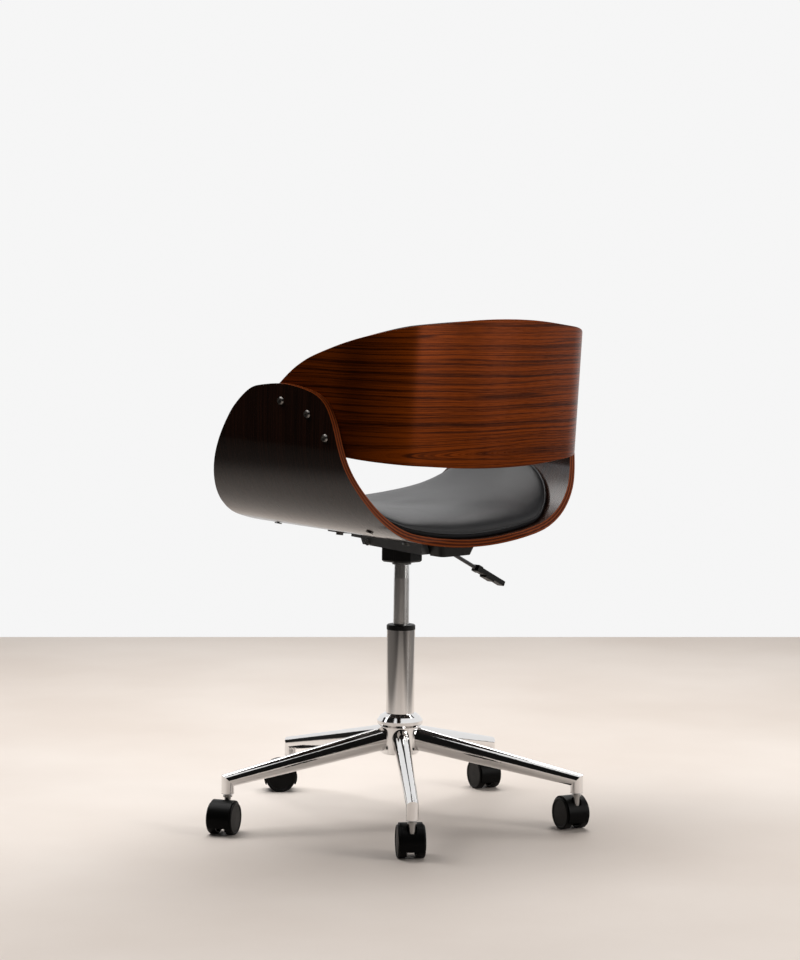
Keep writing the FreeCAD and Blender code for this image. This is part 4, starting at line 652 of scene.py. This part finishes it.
growth = worked("ADD", growth, worked("MULTIPLY", wander, line_wander))
growth = worked("ADD", worked("MULTIPLY", worked("SINE", growth), 0.5), 0.5)
growth = worked("POWER", growth, line_power)
strength = worked("MAXIMUM", worked("SUBTRACT", strength, line_start), 0)
strength = worked("MINIMUM", worked("MULTIPLY", strength, line_gain), line_depth)
growth = worked("MULTIPLY", growth, strength)
lightness = worked("MULTIPLY", figure, worked("SUBTRACT", 1, growth))
veneer.links.new(tinted(veneer, lightness, given["Dark"], given["Light"]), made["Colour"])
dulled = worked("ADD", worked("MULTIPLY", pores, pore_dulling), lacquer_roughness)
veneer.links.new(dulled, made["Roughness"])
veneer.links.new(pores, made["Height"])


def walnut(name, light, dark, heart, gloss, coat, coat_roughness, sheen):
    """Lacquered walnut veneer; heart is the run, height and slope of the figure's centre,
    sheen the share of light that the fibres throw back in the wood's own colour."""
    values = {"Light": (*light, 1), "Dark": (*dark, 1)}
    values.update(zip(("Heart run", "Heart height", "Heart slope"), heart))
    return finish_of(name, veneer, values, relief=0.12, depth=0.0002, constants={
        "Specular IOR Level": gloss,
        "Metallic": sheen,
        "Coat Weight": coat,
        "Coat Roughness": coat_roughness,
    })


layer_share = 0.35


def layered(name, light, dark, layers):
    """Cut edge of plywood: thin layers side by side under the same lacquer."""
    finish, tree, shader = new_finish(name)
    edge_spot, parts = veneer_parts(tree)
    wave = sums(tree, "SINE", sums(tree, "MULTIPLY", parts["Y"], layers * math.pi))
    speck = noise(tree, edge_spot, scale=60, detail=3, stretch=(3.0, 8.0, 1.0))
    share = sums(tree, "ADD", sums(tree, "MULTIPLY", wave, layer_share), speck)
    tone = two_tone(tree, share, (0.3, dark), (0.8, light))
    tree.links.new(tone, shader.inputs["Base Color"])
    set_inputs(shader, {"Roughness": 0.34, "Specular IOR Level": 0.06, "Metallic": 0.12})
    return finish


# Painted shade: the shell takes the same walnut as the back panel, painted many times darker
# because the arms lie in shade.
shaded_shell_walnut = walnut(
    "shaded_shell_walnut", light=(0.036, 0.012, 0.006), dark=(0.012, 0.005, 0.0025),
    heart=(0.0, 0.32, 0.0), gloss=0.1, coat=0.5, coat_roughness=0.12, sheen=0.0)
edge_layers = layered(
    "walnut_edge", light=(0.27, 0.056, 0.010), dark=(0.060, 0.011, 0.003), layers=5)
shell.data.materials.append(shaded_shell_walnut)
shell.data.materials.append(edge_layers)
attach(shell, "seat")
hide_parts("seat_shell")


# Back panel: 12 mm bent plywood that lies on the insides of the arms and leans back, cut
# to a curve above and below, with the walnut's figure running round it.
panel_thick, seat_gap = 0.012, 0.0003
panel_rear, panel_level = 0.2285, 0.202
panel_corner, panel_bend = 0.123, 0.950
panel_lean = math.tan(math.radians(1.8))
panel_front = -0.042
panel_inside = arm_side(0) - ply - seat_gap * arm_square


def panel_section(level):
    """Half section of the panel at a level: the centre of the corner's bend, the place of
    the rear bend's centre, the angle between both, and the lengths of bend, corner and side."""
    rear_y = panel_rear + (level - panel_level) * panel_lean - panel_bend
    side = panel_inside - panel_corner * arm_square
    twice = 2 * arm_splay * side + 2 * rear_y
    rest = side ** 2 + rear_y ** 2 - (panel_bend - panel_corner) ** 2
    root = math.sqrt(twice ** 2 - 4 * arm_square ** 2 * rest)
    corner_y = (twice + root) / (2 * arm_square ** 2)
    corner_x = side - arm_splay * corner_y
    last = math.atan2(corner_y - rear_y, corner_x)
    side_start = corner_y + panel_corner * math.sin(splay_angle)
    lengths = ((math.pi / 2 - last) * panel_bend,
               (last - splay_angle) * panel_corner,
               (side_start - panel_front) * arm_square)
    return corner_x, corner_y, rear_y, last, lengths


def on_panel(share, depth, level):
    """Point of the panel: share runs from -1 to 1 round it, from front end to front end."""
    corner_x, corner_y, rear_y, last, lengths = panel_section(level)
    run, side = abs(share) * sum(lengths), math.copysign(1, share)
    if run <= lengths[0]:
        angle = math.pi / 2 - run / panel_bend
        reach = panel_bend - depth
        along = rear_y + reach * math.sin(angle)
        return Vector((side * reach * math.cos(angle), along, level))
    reach = panel_corner - depth
    if run <= lengths[0] + lengths[1]:
        angle = last - (run - lengths[0]) / panel_corner
        wide = corner_x + reach * math.cos(angle)
        return Vector((side * wide, corner_y + reach * math.sin(angle), level))
    part = (run - lengths[0] - lengths[1]) / lengths[2]
    start = Vector((corner_x + reach * math.cos(splay_angle),
                    corner_y + reach * math.sin(splay_angle)))
    front_side = panel_inside - depth * arm_square - arm_splay * panel_front
    spot = start.lerp(Vector((front_side, panel_front)), part)
    return Vector((side * spot.x, spot.y, level))


panel_top_shares = (
    (-0.184, 0.0), (0.043, 0.329), (0.188, 0.485), (0.333, 0.586),
    (0.608, 0.737), (0.801, 0.838), (0.954, 0.932), (1.026, 1.0),
)
panel_low_shares = (
    (-0.184, 0.0), (0.05, 0.31), (0.263, 0.553), (0.438, 0.671),
    (0.61, 0.743), (0.875, 0.86), (0.998, 1.0),
)
tip_high, tip_low, panel_high, panel_low = 0.236, 0.215, 0.3905, 0.138
edge_steps = 10
top_line = smooth_line(
    flat_points(panel_top_shares, panel_rear, panel_high - tip_high, tip_high), edge_steps)
low_line = smooth_line(
    flat_points(panel_low_shares, panel_rear, panel_low - tip_low, tip_low), edge_steps)
level_rounds = 8


def level_of(line, along):
    """Height of an edge line at a distance along the seat."""
    for start, end in zip(line, line[1:]):
        if start.x <= along <= end.x:
            return start.y + (end.y - start.y) * (along - start.x) / (end.x - start.x)
    return line[0].y if along < line[0].x else line[-1].y


def edge_level(line, share, depth, lift=0.0):
    """Height at which the leaning panel meets an edge line, plus a lift."""
    level = panel_level
    for _ in range(level_rounds):
        level = level_of(line, on_panel(share, depth, level).y) + lift
    return level


def panel_run(share):
    """Length round the panel from its middle to a share."""
    return share * sum(panel_section(panel_level)[-1])


panel_columns, panel_rows = 110, 16
outer_rows, inner_rows, veneer_spots = [], [], []
for column in range(panel_columns + 1):
    share = 2 * column / panel_columns - 1
    for depth, sheet in ((0, outer_rows), (panel_thick, inner_rows)):
        low = edge_level(low_line, share, depth)
        high = edge_level(top_line, share, depth)
        levels = [low + (high - low) * step / panel_rows for step in range(panel_rows + 1)]
        sheet.append([on_panel(share, depth, level) for level in levels])
        if depth == 0:
            veneer_spots += [(panel_run(share), level) for level in levels]
panel = sheet_mesh("walnut_back", outer_rows, inner_rows, veneer_spots)
panel_walnut = walnut(
    "panel_walnut", light=(0.29, 0.050, 0.0018), dark=(0.036, 0.0060, 0.0008),
    heart=(-0.05, 0.165, 0.04), gloss=0.05, coat=0.0, coat_roughness=0.1, sheen=0.16)
panel.data.materials.append(panel_walnut)
panel.data.materials.append(edge_layers)
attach(panel, "seat")
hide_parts("back_panel")


# Arm bolts and sleeve nuts: three nickel-plated socket bolts through each arm, each screwed
# into a sleeve nut that sits in the back panel.
nickel = metal("nickel_plate", (0.34, 0.32, 0.30), roughness=0.3, spread=0.12, relief=0.2)
dress(nickel, "arm_bolts", "arm_nuts")


# Seat cushion: leather over foam, lying in the bucket and climbing both bends, with a round
# roll at its rear, a boxed edge, and a thin piping sewn round the top of that edge.
cushion_thick, cushion_edge, piping_high = 0.040, 0.019, 0.009
cushion_reach, cushion_rear, cushion_front = 0.345, 0.170, 0.227
cushion_nose = 0.026
cushion_shares = (
    (0.0, 0.33, 0.5), (0.025, 0.44, 0.8), (0.068, 0.57, 0.95), (0.136, 0.735, 1.0),
    (0.232, 0.89, 1.0), (0.37, 0.985, 1.0), (0.57, 1.0, 1.0), (0.72, 0.945, 1.05),
    (0.825, 0.855, 1.1), (0.9, 0.745, 1.1), (0.95, 0.635, 1.05), (0.985, 0.53, 0.85),
    (1.0, 0.42, 0.5),
)
front_share, rear_share = 0.18, 0.2
loop_steps, loop_half_count = 8, 90
cushion_long = cushion_front + cushion_rear


def look_up(pairs, share):
    """Value at a share on a smooth line through pairs of share and value."""
    for index in range(len(pairs) - 1):
        (start, low), (end, high) = pairs[index:index + 2]
        if share <= end:
            span = end - start
            before = pairs[max(index - 1, 0)]
            after = pairs[min(index + 2, len(pairs) - 1)]
            leaving = (high - before[1]) / (end - before[0]) * span
            arriving = (after[1] - low) / (after[0] - start) * span
            part = max(0.0, (share - start) / span)
            return (low + leaving * part
                    + (3 * (high - low) - 2 * leaving - arriving) * part ** 2
                    + (2 * (low - high) + leaving + arriving) * part ** 3)
    return pairs[-1][1]


def even_points(line, count):
    """Points at even distances along a line."""
    lengths = [0.0]
    for start, end in zip(line, line[1:]):
        lengths.append(lengths[-1] + (end - start).length)
    spots, index = [], 0
    for step in range(count + 1):
        goal = lengths[-1] * step / count
        while index < len(lengths) - 2 and lengths[index + 1] < goal:
            index += 1
        part = (goal - lengths[index]) / (lengths[index + 1] - lengths[index])
        spots.append(line[index].lerp(line[index + 1], part))
    return spots


rim_line = [Vector((0, 0.0)), Vector((front_share * cushion_reach, 0.0))]
rim_line += [Vector((wide * cushion_reach, along * cushion_long))
             for along, wide, deep in cushion_shares]
rim_line += [Vector((rear_share * cushion_reach, cushion_long)), Vector((0, cushion_long))]
half_loop = even_points(smooth_line(rim_line, loop_steps), loop_half_count)
loop = half_loop + [Vector((-spot.x, spot.y)) for spot in half_loop[-2:0:-1]]
loop = [Vector((spot.x, spot.y - cushion_front)) for spot in loop]
reach_pairs = [(along, wide * cushion_reach) for along, wide, deep in cushion_shares]
deep_pairs = [(along, deep * cushion_thick) for along, wide, deep in cushion_shares]
end_share, crown_power, round_share = 0.02, 1.15, 0.9


def cushion_height(spot, inset):
    """Height of the cushion's top over the shell, at a distance inside its edge."""
    along = (spot.y + cushion_front) / cushion_long
    along = min(max(along, end_share), 1 - end_share)
    across = min(1.0, abs(spot.x) / look_up(reach_pairs, along))
    crown = (1 - across ** 2) ** crown_power
    full = cushion_edge + (look_up(deep_pairs, along) - cushion_edge) * crown
    full = max(full, cushion_edge)
    span = cushion_nose + (full - cushion_edge) * round_share
    part = min(1.0, inset / span)
    return piping_high + (full - piping_high) * math.sqrt(1 - (1 - part) ** 2)


top_ring_shares = (
    1.0, 0.996, 0.989, 0.979, 0.965, 0.947, 0.92, 0.88,
    0.82, 0.74, 0.64, 0.53, 0.42, 0.31, 0.2, 0.1,
)
hem_high, hem_share = 0.002, 0.6
low_rings = (
    (0.4, 0.0), (0.8, 0.0), (0.985, 0.0), (0.996, hem_high), (1.0, piping_high * hem_share),
)
cushion_middle = Vector((0, -0.03))
floor_depth = ply + seat_gap
points, polygons = [], []
count = len(loop)


def add_ring(scale, height=None):
    """One ring of the cushion's points; without a height it lies on the crowned top."""
    for spot in loop:
        place = cushion_middle.lerp(spot, scale)
        lift = height
        if height is None:
            lift = cushion_height(place, (spot - place).length)
        points.append(seat_place @ on_bend(place.x, floor_depth + lift, place.y))


for scale, height in low_rings:
    add_ring(scale, height)
for scale in top_ring_shares:
    add_ring(scale)
ring_count = len(points) // count
for ring in range(ring_count - 1):
    for step in range(count):
        after = (step + 1) % count
        polygons.append((ring * count + step, ring * count + after,
                         (ring + 1) * count + after, (ring + 1) * count + step))
top_middle, low_middle = len(points), len(points) + 1
for depth in (floor_depth + cushion_thick, floor_depth):
    points.append(seat_place @ on_bend(0, depth, cushion_middle.y))
last_ring = (ring_count - 1) * count
for step in range(count):
    after = (step + 1) % count
    polygons.append((last_ring + step, last_ring + after, top_middle))
    polygons.append((after, step, low_middle))


def soft_mesh(name, points, polygons):
    """A smooth closed mesh of leather."""
    mesh = bpy.data.meshes.new(name)
    mesh.from_pydata(points, [], polygons)
    face_outwards(mesh)
    for polygon in mesh.polygons:
        polygon.use_smooth = True
    piece = bpy.data.objects.new(name, mesh)
    bpy.context.scene.collection.objects.link(piece)
    return piece


seat_pad = soft_mesh("leather_seat_pad", points, polygons)
first_settled, settling_rings, settling_passes = 8, 5, 60
crown_points = seat_pad.vertex_groups.new(name="crown")
for ring in range(first_settled, ring_count):
    weight = min(1.0, (ring - first_settled + 1) / settling_rings)
    crown_points.add(list(range(count * ring, count * (ring + 1))), weight, "REPLACE")
crown_points.add([top_middle], 1.0, "REPLACE")
settled = seat_pad.modifiers.new("settled_crown", "SMOOTH")
settled.vertex_group = "crown"
settled.factor = 0.5
settled.iterations = settling_passes

piping_radius, piping_sides = 0.0017, 8
piping_stand, piping_sunk = 1.001, 0.001


def piping(name, line):
    """A closed round cord of leather along a closed line of points."""
    points, polygons = [], []
    count = len(line)
    normal = None
    for index, spot in enumerate(line):
        way = (line[(index + 1) % count] - line[index - 1]).normalized()
        if normal is None:
            normal = way.orthogonal().normalized()
        normal = (normal - way * normal.dot(way)).normalized()
        other = way.cross(normal)
        for step in range(piping_sides):
            angle = 2 * math.pi * step / piping_sides
            out = normal * math.cos(angle) + other * math.sin(angle)
            points.append(spot + out * piping_radius)
    for index in range(count):
        near, far = index * piping_sides, (index + 1) % count * piping_sides
        for step in range(piping_sides):
            turn = (step + 1) % piping_sides
            polygons.append((near + step, near + turn, far + turn, far + step))
    return soft_mesh(name, points, polygons)


piping_depth = floor_depth + piping_high - piping_sunk
seat_piping = piping("seat_piping", [
    seat_place @ on_bend(spot.x * piping_stand, piping_depth, spot.y) for spot in loop])

cell_scale, cell_gain, cell_share, crease_share, rub_spread = 620.0, 5.0, 0.6, 0.5, 0.15
hide, given, made = grouped("leather_grain", [
    ("Colour", COLOUR, (0.012, 0.012, 0.013, 1)),
    ("Rubbed", COLOUR, (0.03, 0.029, 0.03, 1)),
    ("Roughness", FLOAT, 0.42),
], [("Colour", COLOUR), ("Roughness", FLOAT), ("Height", FLOAT)])
hide_place = hide.nodes.new("ShaderNodeTexCoord").outputs["Object"]
cells = hide.nodes.new("ShaderNodeTexVoronoi")
cells.feature = "DISTANCE_TO_EDGE"
cells.inputs["Scale"].default_value = cell_scale
hide.links.new(hide_place, cells.inputs["Vector"])
cell_height = sums(hide, "MULTIPLY", cells.outputs["Distance"], cell_gain)
cell_height = sums(hide, "MINIMUM", cell_height, 1.0)
cell_height = sums(hide, "MULTIPLY", cell_height, cell_share)
crease = noise(hide, hide_place, scale=75, detail=4)
crease = sums(hide, "MULTIPLY", crease, crease_share)
patch = noise(hide, hide_place, scale=9, detail=3)
hide_rough = sums(hide, "MULTIPLY", sums(hide, "SUBTRACT", patch, 0.5), rub_spread)
hide_rough = sums(hide, "ADD", given["Roughness"], hide_rough)
hide.links.new(tinted(hide, patch, given["Colour"], given["Rubbed"]), made["Colour"])
hide.links.new(hide_rough, made["Roughness"])
hide.links.new(sums(hide, "ADD", cell_height, crease), made["Height"])


def leather(name, colour, rubbed, roughness, relief):
    """Finished black leather."""
    values = {"Colour": (*colour, 1), "Rubbed": (*rubbed, 1), "Roughness": roughness}
    return finish_of(
        name, hide, values, relief, depth=0.0004, constants={"Specular IOR Level": 0.22})


pad_leather = leather(
    "black_leather", colour=(0.0055, 0.0055, 0.0062), rubbed=(0.012, 0.012, 0.0135),
    roughness=0.40, relief=0.3)
piping_leather = leather(
    "piping_leather", colour=(0.006, 0.006, 0.007), rubbed=(0.014, 0.014, 0.015),
    roughness=0.36, relief=0.2)
seat_pad.data.materials.append(pad_leather)
seat_piping.data.materials.append(piping_leather)
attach(seat_pad, "seat")
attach(seat_piping, "seat")
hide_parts("seat_cushion")


# Back cushion: leather over foam on the inside of the back panel, standing a little above
# it, with a boxed edge and piping like the seat's.
pad_thick, pad_edge, pad_swell, pad_round = 0.024, 0.009, 0.0035, 0.020
pad_rise, pad_drop, pad_lift, pad_front = 0.004, 0.009, 0.016, 0.062
pad_corner, tuck_share, pad_piping_high = 0.045, 0.46, 0.0088
pad_columns, pad_rows, edge_pull = 120, 26, 0.8
pad_depth = panel_thick + seat_gap
pad_half = panel_run(1.0) - (pad_front - panel_front) * arm_square


def pad_edges(along_share):
    """The panel's share, and the pad's lower and upper edge, at a share of the pad's run."""
    share = along_share * pad_half / panel_run(1.0)
    low = edge_level(low_line, share, pad_depth, pad_lift)
    high = edge_level(top_line, share, pad_depth, pad_rise - pad_drop * share ** 2)
    to_end = pad_half * (1 - abs(along_share))
    if to_end < pad_corner:
        tuck = pad_corner - math.sqrt(pad_corner ** 2 - (pad_corner - to_end) ** 2)
        tuck = min(tuck, (high - low) * tuck_share)
        low, high = low + tuck, high - tuck
    return share, low, high


def pad_spot(along_share, up_share, height):
    """Point of the back cushion at a height over the panel's inner face."""
    share, low, high = pad_edges(along_share)
    return on_panel(share, pad_depth + height, low + (high - low) * up_share)


def pad_height(along_share, up_share):
    """Height of the pad over the panel: a boxed edge, a round shoulder and a low swell."""
    share, low, high = pad_edges(along_share)
    to_end = pad_half * (1 - abs(along_share))
    inset = min(to_end, (high - low) * min(up_share, 1 - up_share))
    part = min(1.0, inset / pad_round)
    full = pad_thick - pad_edge - pad_swell * (1 - math.sin(math.pi * up_share))
    return pad_edge + full * math.sqrt(max(0.0, 1 - (1 - part) ** 2))


def spread(count):
    """Shares from 0 to 1 that lie closer at both ends."""
    even = [step / count for step in range(count + 1)]
    return [share * (1 - edge_pull) + (1 - math.cos(math.pi * share)) / 2 * edge_pull
            for share in even]


across_shares = [2 * share - 1 for share in spread(pad_columns)]
up_shares = spread(pad_rows)
pad_shares = [(wide, up) for wide in across_shares for up in up_shares]
points = [seat_place @ pad_spot(wide, up, pad_height(wide, up)) for wide, up in pad_shares]
points += [seat_place @ pad_spot(wide, up, 0.0) for wide, up in pad_shares]
polygons, rims = closed_grid(pad_columns + 1, pad_rows + 1)
back_pad = soft_mesh("leather_back_pad", points, polygons)
rim = [(wide, 0.0) for wide in across_shares]
rim += [(1.0, up) for up in up_shares[1:]]
rim += [(wide, 1.0) for wide in across_shares[-2::-1]]
rim += [(-1.0, up) for up in up_shares[-2:0:-1]]
back_piping = piping("back_piping", [
    seat_place @ pad_spot(wide, up, pad_piping_high) for wide, up in rim])
back_pad.data.materials.append(pad_leather)
back_piping.data.materials.append(piping_leather)
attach(back_pad, "seat")
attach(back_piping, "seat")
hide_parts("back_cushion")
